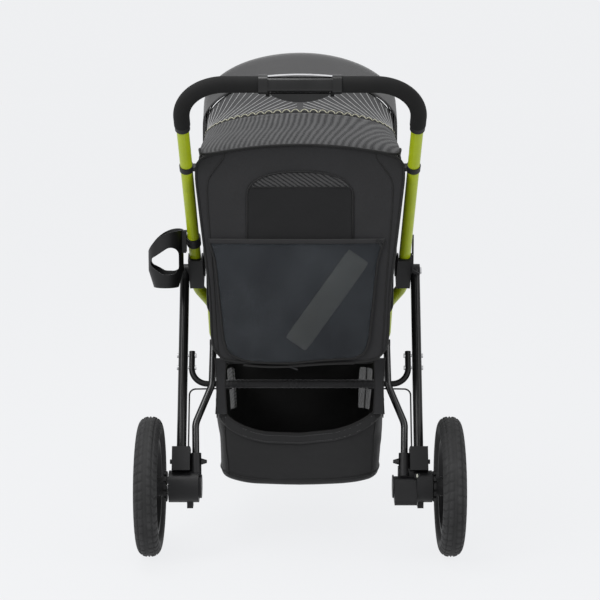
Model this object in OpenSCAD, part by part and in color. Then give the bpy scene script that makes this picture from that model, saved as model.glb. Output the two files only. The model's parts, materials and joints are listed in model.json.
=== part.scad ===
// Three-wheel pet stroller with a folding tube frame, a fabric cabin, a canopy and a basket.
// Millimetres. +Z is up, the front wheel is towards -Y, +X is the stroller's left side,
// and the origin lies on the ground in the middle of the stroller's footprint.

/* [Wheels] */
// Outside diameter of a rear tyre
rear_wheel_d = 303; // [290:1:310]
// Width of a rear tyre
rear_wheel_w = 50; // [44:1:52]
// Distance of each rear wheel's middle from the centre plane
rear_wheel_x = 325; // [322:1:340]
// Place of the rear axles along the stroller
rear_axle_y = 275; // [270:1:280]
// Outside diameter of the front tyre
front_wheel_d = 254; // [240:1:256]
// Width of the front tyre
front_wheel_w = 46; // [40:1:48]
// Place of the front axle along the stroller
front_axle_y = -374; // [-380:1:-368]
// Place of the steering axis, ahead of the front axle
swivel_y = -413; // [-420:1:-408]

/* [Folding frame] */
// Height of the main folding pivot
pivot_z = 600; // [596:1:604]
// Place of the main folding pivot along the stroller
pivot_y = 95; // [92:1:98]
// Distance of the frame tubes from the centre plane at the pivot
pivot_x = 231; // [230:0.5:232]
// Slope of the frame tubes above the ground
tube_pitch = 47.4; // [46:0.1:48.5]
// Outside diameter of the frame tubes
tube_d = 25.4; // [25:0.1:25.6]
// Wall thickness of the frame tubes
tube_wall = 1.6; // [1.2:0.1:2]
// Distance of the rear legs' middle from the centre plane
leg_x = 257.5; // [257:0.5:258.5]

/* [Handle] */
// Length of the handle from the pivot to the crossbar
handle_len = 572; // [565:1:580]
// Distance of the handle's corners from the centre plane
handle_x = 240; // [238:1:243]
// Bend radius of the handle's corners
handle_bend = 90; // [75:1:100]
// Outside diameter of the foam grips
foam_d = 33; // [30:1:35]
// Where the foam starts, measured up the tube from the pivot
foam_start = 460; // [420:1:470]

/* [Cabin] */
// Height of the cabin floor board's top
floor_z = 446; // [446:0.5:447]
// Rear face of the cabin
cabin_back_y = 325; // [325:0.5:326]
// Front face of the cabin
cabin_front_y = -250; // [-255:1:-245]
// Half width of the rear panel at its top
panel_top_x = 216; // [212:0.5:216]
// Half width of the rear panel at its bottom
panel_bottom_x = 186; // [180:1:190]
// Height of the rear panel's top edge in the middle
panel_top_z = 893; // [888:1:894]
// Height of the front panel's top edge
front_panel_z = 620; // [580:5:630]

/* [Canopy] */
// Height of the canopy's pivot
canopy_z = 800; // [798:1:802]
// Place of the canopy's pivot along the stroller
canopy_y = 130; // [128:1:132]
// Half width of the fixed part of the canopy
canopy_x = 205; // [203:0.5:205]
// Half width of the folding visor
visor_x = 212; // [211.5:0.5:213]

/* [Basket] */
// Half width of the basket at its rim
basket_x = 178; // [170:1:178]
// Rear face of the basket
basket_back_y = 270; // [262:1:272]
// Front face of the basket
basket_front_y = -215; // [-220:1:-200]
// Height of the basket's bottom
basket_z = 146; // [145:1:165]

/* [Hidden] */
$fn = 48;
hull_fn = 28;
bend_swell = 0.2;

// Colours
lime = [0.60, 0.69, 0.08];
black = [0.12, 0.12, 0.12];
charcoal = [0.18, 0.18, 0.18];
mesh_black = [0.14, 0.15, 0.17];
tyre_grey = [0.22, 0.22, 0.22];
silver = [0.80, 0.80, 0.80];
pale_grey = [0.55, 0.57, 0.54];

// Running clearance of a shaft in its bore, and the gap between parts that slide
running = 0.05;
gap = 0.4;

// Main pivot
pin_d = 10;
handle_fold = 125;
housing_in_x = 215.5;
housing_out_x = 247.3;
slot_in_x = 218;
slot_out_x = 245.2;
housing_below = 40;
housing_above = 55;
housing_back = 19;
housing_front = 13.5;
catch_in_x = housing_out_x + 0.7;
ear_in_x = 211.5;
ear_z = 682;
wire_x = 205;
wire_d = 9;

// Lower tubes, as distances down the tube from the pivot
lower_start = 25;
lower_bend_1 = 60;
lower_bend_2 = 120;
lower_bend_3 = 241;
lower_x = 200;
head_x = 45;
head_end_y = -393;
head_end_z = 330;
frame_bend = 60;

// Seat frame and the curved rails that the inner struts run in
seat_bar_d = 12;
seat_x = 160;
seat_front_y = -235;
seat_back_y = 295;
board_t = 8;
seat_z = floor_z - board_t - seat_bar_d / 2 - 0.15;
cross_tube_d = 16;
cross_tube_s = 232;
rail_r = 170;
rail_w = 16;
rail_in_x = 176;
rail_out_x = 182;
peg_d = 8;
strut_back_angle = 28.07;
rear_fold = 50;

// Rear legs, seen from the side, from the pivot down to the hub
leg_lean = 23.83;
leg_w = 20;
leg_depth = 32;
leg_start = 22;
leg_end = 445;
cap_r = 15;

// Rear hubs
rear_axle_z = rear_wheel_d / 2;
axle_d = 12;
hub_r = 34.5;
hub_in_x = 219;
hub_out_x = 284;
right_hub_in_x = 252;
right_barrel_in_x = 203;
pedal_bore_r = 22;
strut_d = 15.5;
strut_foot = [226, 268, 195];
strut_top = [191, pivot_y + rail_r * sin(strut_back_angle),
             pivot_z - rail_r * cos(strut_back_angle)];

// Rear crossbar
bar_d = 13;
bar_x = 238;
bar_z = 363;
bar_top_z = 430;
bar_bend = 35;
bolt_zs = [421, 396];

// Steering head, fork and front wheel
front_axle_z = front_wheel_d / 2;
head_bottom_z = 285;
head_top_z = 345;
stem_d = 20;
crown_z = 268;
blade_x = 32;
blade_w = 9;
front_axle_d = 10;

// Handle centre
clamp_in = 64;
clamp_out = 82;
trigger_s = 548;
trigger_pin_d = 4;

// Cup holder
cup_x = 293.5;
cup_y = 167;
cup_r = 38.5;
cup_bottom_z = 574;
cup_shoulder_z = 611;
cup_top_z = 700;
cup_t = 3;
cup_crown_r = 75.4;
tongue_x = 249;
tongue_t = 4;
tongue_w = 20;

// Canopy profile: two straight runs of fabric meeting at the front bow, as distances from
// the canopy pivot to each run and the directions of the shortest way to it
run_1 = 181.8;
run_1_dir = 59.5;
run_2 = 300.3;
run_2_dir = 108.8;
seam_angle = 25.5;
rear_bow_angle = 58.5;
visor_start = 95.5;
middle_end = 97;
front_bow_angle = 113;
visor_end = 144;
fabric_t = 2;

// ---------------------------------------------------------------- helpers

function unit(v) = v / norm(v);

// A matrix that carries the X, Y and Z axes to three directions, at a place
function placed(at, x, y, z) = [
    [x[0], y[0], z[0], at[0]], [x[1], y[1], z[1], at[1]], [x[2], y[2], z[2], at[2]], [0, 0, 0, 1]];

// The cross-section of a tube, solid where the wall is 0
module ring(d, wall) {
    difference() {
        circle(d = d);
        if (wall > 0) circle(d = d - 2 * wall);
    }
}

// Put an upright thing at point a with its Z towards point b
module aimed(a, b) {
    w = unit(b - a);
    side = abs(w[2]) > 0.9 ? [0, 1, 0] : [0, 0, 1];
    u = unit(cross(side, w));
    multmatrix(placed(a, u, cross(w, u), w)) children();
}

// A straight tube from a to b
module tube(a, b, d, wall = 0) {
    aimed(a, b) linear_extrude(norm(b - a)) ring(d, wall);
}

// One bend of a rod, from point a, turning from direction u to direction v
module elbow(a, u, v, r, d) {
    turn = acos(u * v);
    inward = unit(v - (u * v) * u);
    multmatrix(placed(a + r * inward, -inward, u, cross(-inward, u)))
        rotate_extrude(angle = turn) translate([r, 0]) circle(d = d);
}

// A rod along a row of corner points, with every corner bent to radius r. Bends are a little
// thicker than straight runs and lap over them, and more lengthens both of its ends.
module bent_rod(points, r, d, more = 0) {
    last = len(points) - 1;
    lap = 1.2;
    dirs = [for (i = [0:last - 1]) unit(points[i + 1] - points[i])];
    cuts = [for (i = [0:last]) i == 0 || i == last ? -more
            : r * tan(acos(dirs[i - 1] * dirs[i]) / 2) - lap];
    for (i = [0:last - 1])
        tube(points[i] + cuts[i] * dirs[i], points[i + 1] - cuts[i + 1] * dirs[i], d);
    for (i = [1:last - 1])
        elbow(points[i] - (cuts[i] + lap) * dirs[i - 1], dirs[i - 1], dirs[i], r, d + bend_swell);
}

// A hollow tube bent in the same way, or a solid one where the wall is 0
module bent_tube(points, r, d, wall = 0) {
    difference() {
        bent_rod(points, r, d);
        if (wall > 0) bent_rod(points, r, d - 2 * wall, 1);
    }
}

// A cylinder along X between two places
module across(x0, x1, y, z, r) {
    translate([x0, y, z]) rotate([0, 90, 0]) cylinder(h = x1 - x0, r = r);
}

// A cylinder along Y between two places
module lengthwise(y0, y1, x, z, r) {
    translate([x, y1, z]) rotate([90, 0, 0]) cylinder(h = y1 - y0, r = r);
}

// An outline in the Y-Z plane, given thickness between two places along X
module slab_x(x0, x1) {
    translate([x0, 0, 0]) multmatrix([[0, 0, 1, 0], [1, 0, 0, 0], [0, 1, 0, 0], [0, 0, 0, 1]])
        linear_extrude(x1 - x0) children();
}

// An outline in the X-Z plane, given thickness between two places along Y
module slab_y(y0, y1) {
    translate([0, y1, 0]) rotate([90, 0, 0]) linear_extrude(y1 - y0) children();
}

// The same thing on the left (side = 1) or mirrored to the right (side = -1)
module on_side(side) {
    if (side > 0) children();
    else mirror([1, 0, 0]) children();
}

module both_sides() {
    children();
    mirror([1, 0, 0]) children();
}

// A closed solid between an outer grid of points and an inner one
module shell(outer, inner, flip = false) {
    rows = len(outer);
    cols = len(outer[0]);
    count = rows * cols;
    points = concat([for (row = outer) each row], [for (row = inner) each row]);
    function at(i, j, k) = k * count + i * cols + j;
    function quad(a, b, c, d, turned) =
        turned ? [[c, b, a], [d, c, a]] : [[a, b, c], [a, c, d]];
    skins = [for (k = [0, 1], i = [0:rows - 2], j = [0:cols - 2])
        each quad(at(i, j, k), at(i + 1, j, k), at(i + 1, j + 1, k), at(i, j + 1, k), k == 1)];
    ends = [for (j = [0:cols - 2], e = [0, 1])
        let (i = e * (rows - 1))
        each quad(at(i, j, 0), at(i, j + 1, 0), at(i, j + 1, 1), at(i, j, 1), e == 1)];
    sides = [for (i = [0:rows - 2], e = [0, 1])
        let (j = e * (cols - 1))
        each quad(at(i, j, 0), at(i + 1, j, 0), at(i + 1, j, 1), at(i, j, 1), e == 0)];
    faces = concat(skins, ends, sides);
    polyhedron(points, flip ? [for (f = faces) [f[2], f[1], f[0]]] : faces, convexity = 6);
}

// Points of an arc, both ends included
function arc(centre, r, from, to, steps) =
    [for (i = [0:steps]) let (a = from + (to - from) * i / steps) centre + r * [cos(a), sin(a)]];

// ---------------------------------------------------------------- places

// The handle's own plane: X across, Y up along the tubes, Z out of their upper front side
module on_handle() {
    translate([0, pivot_y, pivot_z]) rotate([tube_pitch, 0, 0]) children();
}

// A point on a lower tube's line, s below the pivot
function lower_point(s, x) = [x, pivot_y - s * cos(tube_pitch), pivot_z - s * sin(tube_pitch)];

// A point on a handle tube's middle line, s above the pivot, in the handle's plane
function handle_point(s) = [pivot_x + (handle_x - pivot_x) * s / handle_len, s, 0];

// The leg's own frame: Z down the leg from the pivot, Y towards the rear face
module on_leg() {
    translate([leg_x, pivot_y, pivot_z]) rotate([180 + leg_lean, 0, 0]) children();
}

// Height to place along a leg's line
function leg_y(z) = pivot_y + (pivot_z - z) * tan(leg_lean);

// Arcs about the main pivot: angles from straight down, positive to the rear, Z along +X
module about_pivot() {
    multmatrix([[0, 0, 1, 0], [0, 1, 0, pivot_y], [-1, 0, 0, pivot_z], [0, 0, 0, 1]]) children();
}

// ---------------------------------------------------------------- chassis

lower_path = [lower_point(lower_start, pivot_x), lower_point(lower_bend_1, pivot_x),
              lower_point(lower_bend_2, lower_x), lower_point(lower_bend_3, lower_x),
              [head_x, head_end_y, head_end_z]];

module lower_tube(side) {
    color(lime) on_side(side) bent_tube(lower_path, frame_bend, tube_d, tube_wall);
}
module lower_tube_left() lower_tube(1);
module lower_tube_right() lower_tube(-1);

// The black clevis that holds the lower tube and lets the handle tube swing forward
module joint_housing(side) {
    depth = housing_back + housing_front;
    color(black) on_side(side) {
        on_handle() difference() {
            translate([housing_in_x, -housing_below, -housing_back])
                cube([housing_out_x - housing_in_x, housing_below + housing_above, depth]);
            translate([slot_in_x, -lower_start + 0.8, -tube_d / 2 - gap])
                cube([slot_out_x - slot_in_x, housing_above + lower_start + 1, depth]);
            rotate([handle_fold, 0, 0]) translate([slot_in_x, 0, -tube_d / 2 - gap])
                cube([slot_out_x - slot_in_x, 60, tube_d + 2 * gap]);
            tube([pivot_x, -housing_below - 1, 0], [pivot_x, -lower_start + 2, 0], tube_d);
            across(housing_in_x - 1, housing_out_x + 1, 0, 0, pin_d / 2);
            for (x = [housing_in_x, housing_out_x])
                translate([x, housing_above, housing_front]) rotate([45, 0, 0])
                    cube([12, 14, 14], center = true);
        }
        difference() {
            slab_x(ear_in_x, housing_in_x) hull() {
                translate([pivot_y, pivot_z]) circle(r = 13, $fn = hull_fn);
                translate([pivot_y + 6, ear_z]) circle(r = 8, $fn = hull_fn);
            }
            across(ear_in_x - 1, housing_in_x + 1, pivot_y, pivot_z, pin_d / 2);
        }
    }
}
module joint_housing_left() joint_housing(1);
module joint_housing_right() joint_housing(-1);

module pivot_pins() {
    color(silver) both_sides() {
        across(209.8, 269, pivot_y, pivot_z, pin_d / 2);
        across(268.2, 271.5, pivot_y, pivot_z, 8);
        across(209.8, 211.3, pivot_y, pivot_z, 7.5);
    }
}

module steering_head() {
    head_tip = lower_path[4] + 2 * unit(lower_path[4] - lower_path[3]);
    socket_start = lower_path[4] - 70 * unit(lower_path[4] - lower_path[3]);
    color(black) difference() {
        union() {
            translate([0, swivel_y, head_bottom_z]) cylinder(h = head_top_z - head_bottom_z, d = 46);
            translate([-40, swivel_y, 300]) cube([80, 38, 44]);
            both_sides() tube(lower_path[4] - 32 * unit(lower_path[4] - lower_path[3]), head_tip, 34);
        }
        both_sides() tube(socket_start, lower_path[4], tube_d);
        translate([0, swivel_y, head_bottom_z - 1])
            cylinder(h = head_top_z - head_bottom_z + 2, d = stem_d + 2 * running);
    }
}

// A loop of round bar under the floor and the tube that carries it between the lower tubes
module seat_frame() {
    middle_y = (seat_front_y + seat_back_y) / 2;
    cross_y = lower_point(cross_tube_s, 0)[1];
    cross_z = seat_z - seat_bar_d / 2 - cross_tube_d / 2;
    color(black) {
        bent_tube([[seat_x, middle_y, seat_z], [seat_x, seat_back_y, seat_z],
                   [-seat_x, seat_back_y, seat_z], [-seat_x, seat_front_y, seat_z],
                   [seat_x, seat_front_y, seat_z], [seat_x, middle_y, seat_z]], 30, seat_bar_d);
        difference() {
            across(-lower_x, lower_x, cross_y, cross_z, cross_tube_d / 2);
            both_sides() bent_rod(lower_path, frame_bend, tube_d + 0.05);
            both_sides() translate([lower_x, cross_y - 30, cross_z - 30]) cube(60);
        }
    }
}

// A slotted arc about the main pivot, on each side of the floor
module seat_rails() {
    slot_from = strut_back_angle - rear_fold - 3;
    slot_to = strut_back_angle + 2.6;
    color(black) both_sides() {
        about_pivot() translate([0, 0, rail_in_x]) rotate([0, 0, slot_from - 3]) difference() {
            rotate_extrude(angle = slot_to - slot_from + 6)
                translate([rail_r - rail_w / 2, 0]) square([rail_w, rail_out_x - rail_in_x]);
            translate([0, 0, -1]) rotate([0, 0, 3]) rotate_extrude(angle = slot_to - slot_from)
                translate([rail_r - peg_d / 2 - gap, 0]) square([peg_d + 2 * gap, 9]);
        }
        for (a = [-15, 20]) translate([seat_x + seat_bar_d / 2, pivot_y + rail_r * sin(a) - 8, seat_z - 4])
            cube([rail_in_x - seat_x - seat_bar_d / 2, 16, 8]);
    }
}

module hanger_wires() {
    rail_top = pivot_z - rail_r + rail_w / 2;
    color(black) both_sides() {
        bent_tube([[wire_x, pivot_y + 6, ear_z], [wire_x, pivot_y + 2, 518],
                   [179, pivot_y, 472], [179, pivot_y, rail_top + 0.1]], 22, wire_d);
        across(wire_x + wire_d / 2 - 0.6, ear_in_x, pivot_y + 6, ear_z - 4, 3.5);
        across(wire_x + wire_d / 2 - 0.6, ear_in_x, pivot_y + 4.2, ear_z - 60, 3.5);
    }
}

module floor_board() {
    color(charcoal) translate([-164, seat_front_y - 6, floor_z - board_t])
        cube([328, seat_back_y - seat_front_y + 12, board_t]);
}

// A loose pad on the floor board
module seat_cushion() {
    corner = 18;
    color(charcoal) hull() for (x = [-1, 1], y = [seat_front_y + 14, seat_back_y - 4], z = [15, 31])
        translate([x * 142, y, floor_z + z]) sphere(r = 14, $fn = 16);
}

// ---------------------------------------------------------------- cabin

// Half width of the cabin at a height
function cabin_x(z) = z < 480 ? 170 : z < 540 ? 170 + (z - 480) * 0.1 : 176 + (z - 540) * 0.1;

panel_bottom_z = 438;
panel_top_r = (panel_top_x * panel_top_x + 27 * 27) / 54;
panel_corner_r = 26;
panel_t = 8;

module cabin_rear_panel() {
    half_top = asin((panel_top_x - panel_corner_r) / (panel_top_r - panel_corner_r));
    corner = [0, panel_top_z - panel_top_r]
        + (panel_top_r - panel_corner_r) * [sin(half_top), cos(half_top)];
    right = concat(
        arc([panel_bottom_x - 30, panel_bottom_z + 30], 30, -90, 0, 5),
        arc(corner, panel_corner_r, 4, 90 - half_top, 6),
        arc([0, panel_top_z - panel_top_r], panel_top_r, 90 - half_top, 90, 6));
    left = [for (i = [len(right) - 2:-1:0]) [-right[i][0], right[i][1]]];
    color(charcoal) slab_y(cabin_back_y - panel_t, cabin_back_y) polygon(concat(right, left));
}

// Height of a side wall's top edge at a place along the cabin
function side_top(y) = y > canopy_y
    ? canopy_z + (y - canopy_y) * tan(seam_angle) - 3
    : canopy_z - 3 - (canopy_y - y) * (canopy_z - front_panel_z) / (canopy_y - cabin_front_y);

module cabin_side(side) {
    front = cabin_front_y + 6;
    back = cabin_back_y - panel_t;
    bottom = floor_z - board_t;
    function wall_point(i, j, inset) =
        let (y = front + (back - front) * i / 12, z = bottom + (side_top(y) - bottom) * j / 10)
        [cabin_x(z) - inset, y, z];
    outer = [for (i = [0:12]) [for (j = [0:10]) wall_point(i, j, 0)]];
    inner = [for (i = [0:12]) [for (j = [0:10]) wall_point(i, j, 4)]];
    color(charcoal) on_side(side) difference() {
        shell(outer, inner, true);
        across(190, 214, canopy_y, canopy_z, 4 + running);
    }
}
module cabin_side_left() cabin_side(1);
module cabin_side_right() cabin_side(-1);

module cabin_front_panel() {
    bottom = floor_z - board_t;
    color(charcoal) slab_y(cabin_front_y, cabin_front_y + 6) polygon([
        [-cabin_x(bottom), bottom], [cabin_x(bottom), bottom],
        [cabin_x(front_panel_z), front_panel_z], [-cabin_x(front_panel_z), front_panel_z]]);
}

pocket_top_z = 700;
pocket_bottom_z = 444;
pocket_depth = 20;

module pocket_outline(inset) {
    right = concat(
        arc([126, pocket_bottom_z + 28], 28 - inset, -90, 6, 5),
        [[188 - inset, pocket_top_z]]);
    left = [for (i = [len(right) - 1:-1:0]) [-right[i][0], right[i][1]]];
    polygon(concat(right, left));
}

// An open-topped mesh pocket sewn to the rear panel
module rear_pocket() {
    color(mesh_black) difference() {
        slab_y(cabin_back_y, cabin_back_y + pocket_depth) pocket_outline(0);
        slab_y(cabin_back_y - 1, cabin_back_y + pocket_depth - 3) pocket_outline(3);
        translate([-180, cabin_back_y - 1, pocket_top_z - 1]) cube([360, pocket_depth - 2, 4]);
    }
}

// A folded rain cover kept in the pocket
module rain_cover() {
    color(pale_grey) translate([-57, cabin_back_y + 1.5, 569]) rotate([0, -35.5, 0])
        hull() for (x = [-1, 1], z = [-1, 1]) translate([x * 18, 0, z * 107])
            rotate([-90, 0, 0]) cylinder(h = 13, r = 5, $fn = hull_fn);
}

// ---------------------------------------------------------------- canopy

// Distance from the canopy pivot to the fabric's middle line, in a direction above the rear
function canopy_r(angle) = angle < front_bow_angle
    ? run_1 / cos(angle - run_1_dir) : run_2 / cos(angle - run_2_dir);

// How far the fabric's sides drop from its middle line
function canopy_drop(angle) = angle < rear_bow_angle
    ? 24 + (angle - seam_angle) * 36 / (rear_bow_angle - seam_angle)
    : min(120, 60 + (angle - rear_bow_angle) * 1.15);

// A point of the canopy: u runs from 0 at one side to 1 at the other, over the top
function canopy_point(angle, u, half, out) =
    let (v = abs(2 * u - 1), top = 0.66, r = canopy_r(angle) + out, drop = canopy_drop(angle),
         turn = 90 * min(1, v / top), down = max(0, (v - top) / (1 - top)),
         x = half * sin(turn), rho = (r - drop + drop * cos(turn)) * (1 - down) + 14 * down)
    [u < 0.5 ? x : -x, canopy_y + rho * cos(angle), canopy_z + rho * sin(angle)];

// Fabric over a row of angles
module canopy_section(angles, half, out) {
    cols = 32;
    function grid(inset) = [for (a = angles) [for (j = [0:cols])
        canopy_point(a, j / cols, half - inset, out - inset)]];
    shell(grid(0), grid(fabric_t));
}

function spread(from, to, steps) = [for (i = [0:steps]) from + (to - from) * i / steps];

module canopy_rear() {
    color(mesh_black) canopy_section(spread(seam_angle, rear_bow_angle, 5), canopy_x, 0);
}

module canopy_middle() {
    color(mesh_black) canopy_section(spread(rear_bow_angle + 0.3, middle_end, 6), canopy_x, 0);
}

module visor() {
    ridge = spread(visor_start, front_bow_angle, 3);
    color(charcoal) canopy_section(concat(ridge, spread(front_bow_angle + 6, visor_end, 4)), visor_x, 3);
}

// A wire bent to the canopy's shape at one angle
module bow(angle, half, out, d) {
    cols = 32;
    sides = 6;
    path = [for (j = [0:cols]) canopy_point(angle, j / cols, half, out)];
    flat = [0, -sin(angle), cos(angle)];
    function along(j) = unit(path[min(j + 1, cols)] - path[max(j - 1, 0)]);
    rings = [for (j = [0:cols]) let (n = cross(along(j), flat))
        [for (k = [0:sides - 1]) let (a = k * 360 / sides) path[j] + d / 2 * (cos(a) * n + sin(a) * flat)]];
    skin = [for (j = [0:cols - 1], k = [0:sides - 1])
        let (a = j * sides + k, b = j * sides + (k + 1) % sides)
        each [[a, b, b + sides], [a, b + sides, a + sides]]];
    ends = [[for (k = [sides - 1:-1:0]) k], [for (k = [0:sides - 1]) cols * sides + k]];
    polyhedron([for (r = rings) each r], concat(skin, ends), convexity = 6);
}

module canopy_bows() {
    color(black) {
        bow(rear_bow_angle, canopy_x - fabric_t - 3, -fabric_t - 3, 5);
        bow(middle_end - 3, canopy_x - fabric_t - 3, -fabric_t - 3, 5);
        both_sides() {
            across(194, 214, canopy_y, canopy_z, 4);
            difference() {
                across(194, 196.6, canopy_y, canopy_z, 13);
                across(193, 215, canopy_y, canopy_z, 4);
            }
        }
    }
}

module visor_bows() {
    color(black) {
        for (angle = [front_bow_angle, visor_end - 1]) bow(angle, visor_x - fabric_t - 2.6, -1.7, 3.6);
        both_sides() difference() {
            across(visor_x - 5.4, visor_x - 2.2, canopy_y, canopy_z, 15);
            across(190, 220, canopy_y, canopy_z, 4 + running);
        }
    }
}

// ---------------------------------------------------------------- basket

// The webbing straps between the basket's rim and the seat frame
strap_ys = [-190, -84, 250];
strap_w = 20;

module basket_form(inset) {
    rim = 325;
    hull() {
        for (x = [-1, 1], y = [basket_front_y + 20, basket_back_y - 20]) {
            translate([x * (basket_x - 20), y, rim - 3]) cylinder(h = 3, r = 20 - inset, $fn = hull_fn);
            translate([x * (basket_x - 40), y, basket_z + 34])
                sphere(r = 26 - inset, $fn = hull_fn);
        }
        translate([0, (basket_front_y + basket_back_y) / 2, basket_z + 8 + inset])
            cube([200, 380, 16], center = true);
    }
}

module basket() {
    sag = 45;
    sag_r = (basket_x * basket_x + sag * sag) / (2 * sag);
    rim_z = 310 - sag;
    color(mesh_black) {
        difference() {
            basket_form(0);
            basket_form(3);
            translate([-150, basket_front_y + 20, 300]) cube([300, 440, 40]);
            lengthwise(basket_back_y - 30, basket_back_y + 5, 0, rim_z + sag_r, sag_r);
        }
        for (y = strap_ys) both_sides() hull() {
            translate([basket_x - 4, y, 322]) cube([2, strap_w, 2], center = true);
            translate([seat_x + seat_bar_d / 2 + 1, y, seat_z + 3]) cube([2, strap_w, 2], center = true);
        }
    }
}

// ---------------------------------------------------------------- handle

handle_corner = [handle_x, handle_len, 0];

module handle_tube() {
    flip = [-1, 1, 1];
    low = handle_point(0);
    color(lime) on_handle() difference() {
        union() {
            bent_tube([low, handle_corner, [-handle_x, handle_len, 0], [-low[0], 0, 0]],
                      handle_bend, tube_d, tube_wall);
            both_sides() across(slot_in_x + 0.8, slot_out_x - 0.8, 0, 0, tube_d / 2 - 0.3);
        }
        both_sides() across(slot_in_x - 5, slot_out_x + 5, 0, 0, pin_d / 2 + running);
    }
}

module foam_grip(side) {
    color(charcoal) on_side(side) on_handle()
        bent_tube([handle_point(foam_start), handle_corner, [clamp_out, handle_len, 0]],
                  handle_bend, foam_d, (foam_d - tube_d) / 2);
}
module foam_grip_left() foam_grip(1);
module foam_grip_right() foam_grip(-1);

module grip_collars() {
    color(black) both_sides() on_handle()
        tube(handle_point(foam_start - 12), handle_point(foam_start), foam_d - 2,
             (foam_d - 2 - tube_d) / 2);
}

// The moulded middle of the handle, with an ear at each end for the trigger
module centre_grip() {
    color(black) on_handle() difference() {
        union() {
            across(-clamp_in - 2, clamp_in + 2, handle_len, 0, 15);
            both_sides() {
                across(clamp_in, clamp_out, handle_len, 0, 19);
                slab_x(60, clamp_in + 4) hull() {
                    translate([handle_len, 0]) circle(r = 15, $fn = hull_fn);
                    translate([trigger_s, 0]) circle(r = 7, $fn = hull_fn);
                }
            }
        }
        across(-90, 90, handle_len, 0, tube_d / 2);
        both_sides() across(59, 66, trigger_s, 0, trigger_pin_d / 2 + running);
    }
}

// A bright arched strip along the top of the handle's middle
module handle_trim() {
    rise = 3;
    arch_r = (clamp_in * clamp_in + rise * rise) / (2 * rise);
    half = asin((clamp_in - 0.7) / arch_r);
    top = [0, pivot_y + handle_len * cos(tube_pitch), pivot_z + handle_len * sin(tube_pitch)];
    color(silver) translate(top + [0, 8, 15.2 + rise - arch_r]) rotate([90, 0, 0])
        rotate([0, 0, 90 - half]) rotate_extrude(angle = 2 * half, $fn = 96)
            translate([arch_r, 1]) square([2.8, 14]);
}

module snap_connectors() {
    s = 335;
    color(black) both_sides() on_handle() difference() {
        union() {
            tube(handle_point(s - 7), handle_point(s + 7), tube_d + 4);
            translate([217.2, s - 6, -6]) cube([8, 12, 12]);
        }
        tube(handle_point(s - 30), handle_point(s + 30), tube_d);
    }
}

module fold_trigger() {
    half = 58;
    dip = 19;
    dip_r = (half * half + dip * dip) / (2 * dip);
    reach = asin(half / dip_r);
    color(black) on_handle() {
        translate([0, 0, -6]) linear_extrude(12) polygon(concat(
            arc([0, trigger_s - dip + dip_r], dip_r, 270 - reach, 270 + reach, 18),
            [[half, trigger_s + 4], [-half, trigger_s + 4]]));
        both_sides() across(half - 1, clamp_in - 0.5, trigger_s, 0, trigger_pin_d / 2);
    }
}

// A clamp on the left handle tube with a flat tongue for the cup holder
module cup_bracket() {
    s = 104;
    color(black) difference() {
        union() {
            on_handle() tube(handle_point(s - 12), handle_point(s + 12), tube_d + 6);
            translate([240, cup_y - 9, 668]) cube([tongue_x - 240 + 1, 18, 20]);
            translate([tongue_x, cup_y - tongue_w / 2, 655]) cube([tongue_t, tongue_w, 40]);
        }
        on_handle() tube(handle_point(s - 60), handle_point(s + 60), tube_d);
    }
}

module cup_holder() {
    back_x = tongue_x + tongue_t;
    guide_w = tongue_w + 2 * gap + 6;
    color(black) difference() {
        union() {
            translate([cup_x, cup_y, cup_bottom_z])
                cylinder(h = cup_shoulder_z - cup_bottom_z, r1 = cup_r - 11, r2 = cup_r);
            translate([cup_x, cup_y, cup_shoulder_z]) cylinder(h = cup_top_z - cup_shoulder_z, r = cup_r);
            translate([back_x + gap, cup_y - guide_w / 2, 650]) cube([9, guide_w, 48]);
            for (e = [-1, 1]) translate([tongue_x - 0.6, cup_y + e * (tongue_w / 2 + gap + 1.5) - 1.5, 650])
                cube([6.2, 3, 48]);
            for (e = [-1, 1]) translate([tongue_x - gap - 2, cup_y + e * (tongue_w / 2 - 0.5) - 2.5, 695.5])
                cube([10, 5, 2.5]);
        }
        translate([cup_x, cup_y, cup_bottom_z + cup_t])
            cylinder(h = cup_shoulder_z - cup_bottom_z - cup_t + 0.1,
                     r1 = cup_r - 10 - cup_t, r2 = cup_r - cup_t);
        translate([cup_x, cup_y, cup_shoulder_z]) cylinder(h = 100, r = cup_r - cup_t);
        slab_y(cup_y - 60, cup_y + 60) translate([cup_x - 31.5, cup_top_z - cup_crown_r]) difference() {
            square(100);
            circle(r = cup_crown_r);
        }
        slab_y(cup_y - 60, cup_y + 60) translate([cup_x, cup_shoulder_z]) hull() {
            translate([-12.5, 36]) circle(r = 17, $fn = hull_fn);
            translate([20, 19]) circle(r = 13, $fn = hull_fn);
            translate([-12.5, 11]) circle(r = 17, $fn = hull_fn);
            translate([0, 10]) circle(r = 16, $fn = hull_fn);
        }
    }
}

// ---------------------------------------------------------------- rear frame

// An oval leg section with a groove down each broad side
module leg_section() {
    straight = leg_depth - leg_w;
    difference() {
        union() {
            square([leg_w, straight], center = true);
            for (e = [-1, 1]) translate([0, e * straight / 2]) circle(d = leg_w);
        }
        for (e = [-1, 1]) translate([e * (leg_w / 2 + 0.6), 0]) circle(r = 2.4);
        for (e = [-1, 1]) translate([0, e * (leg_depth / 2 + 0.4)]) circle(r = 1.8);
    }
}

module rear_leg(side) {
    color(black) on_side(side) difference() {
        on_leg() translate([0, 0, leg_start]) linear_extrude(leg_end - leg_start) difference() {
            leg_section();
            square([leg_w - 9, leg_depth - 10], center = true);
        }
        for (z = bolt_zs) across(leg_x - 15, leg_x + 15, leg_y(z), z, 3.1);
    }
}
module rear_leg_left() rear_leg(1);
module rear_leg_right() rear_leg(-1);

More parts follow.
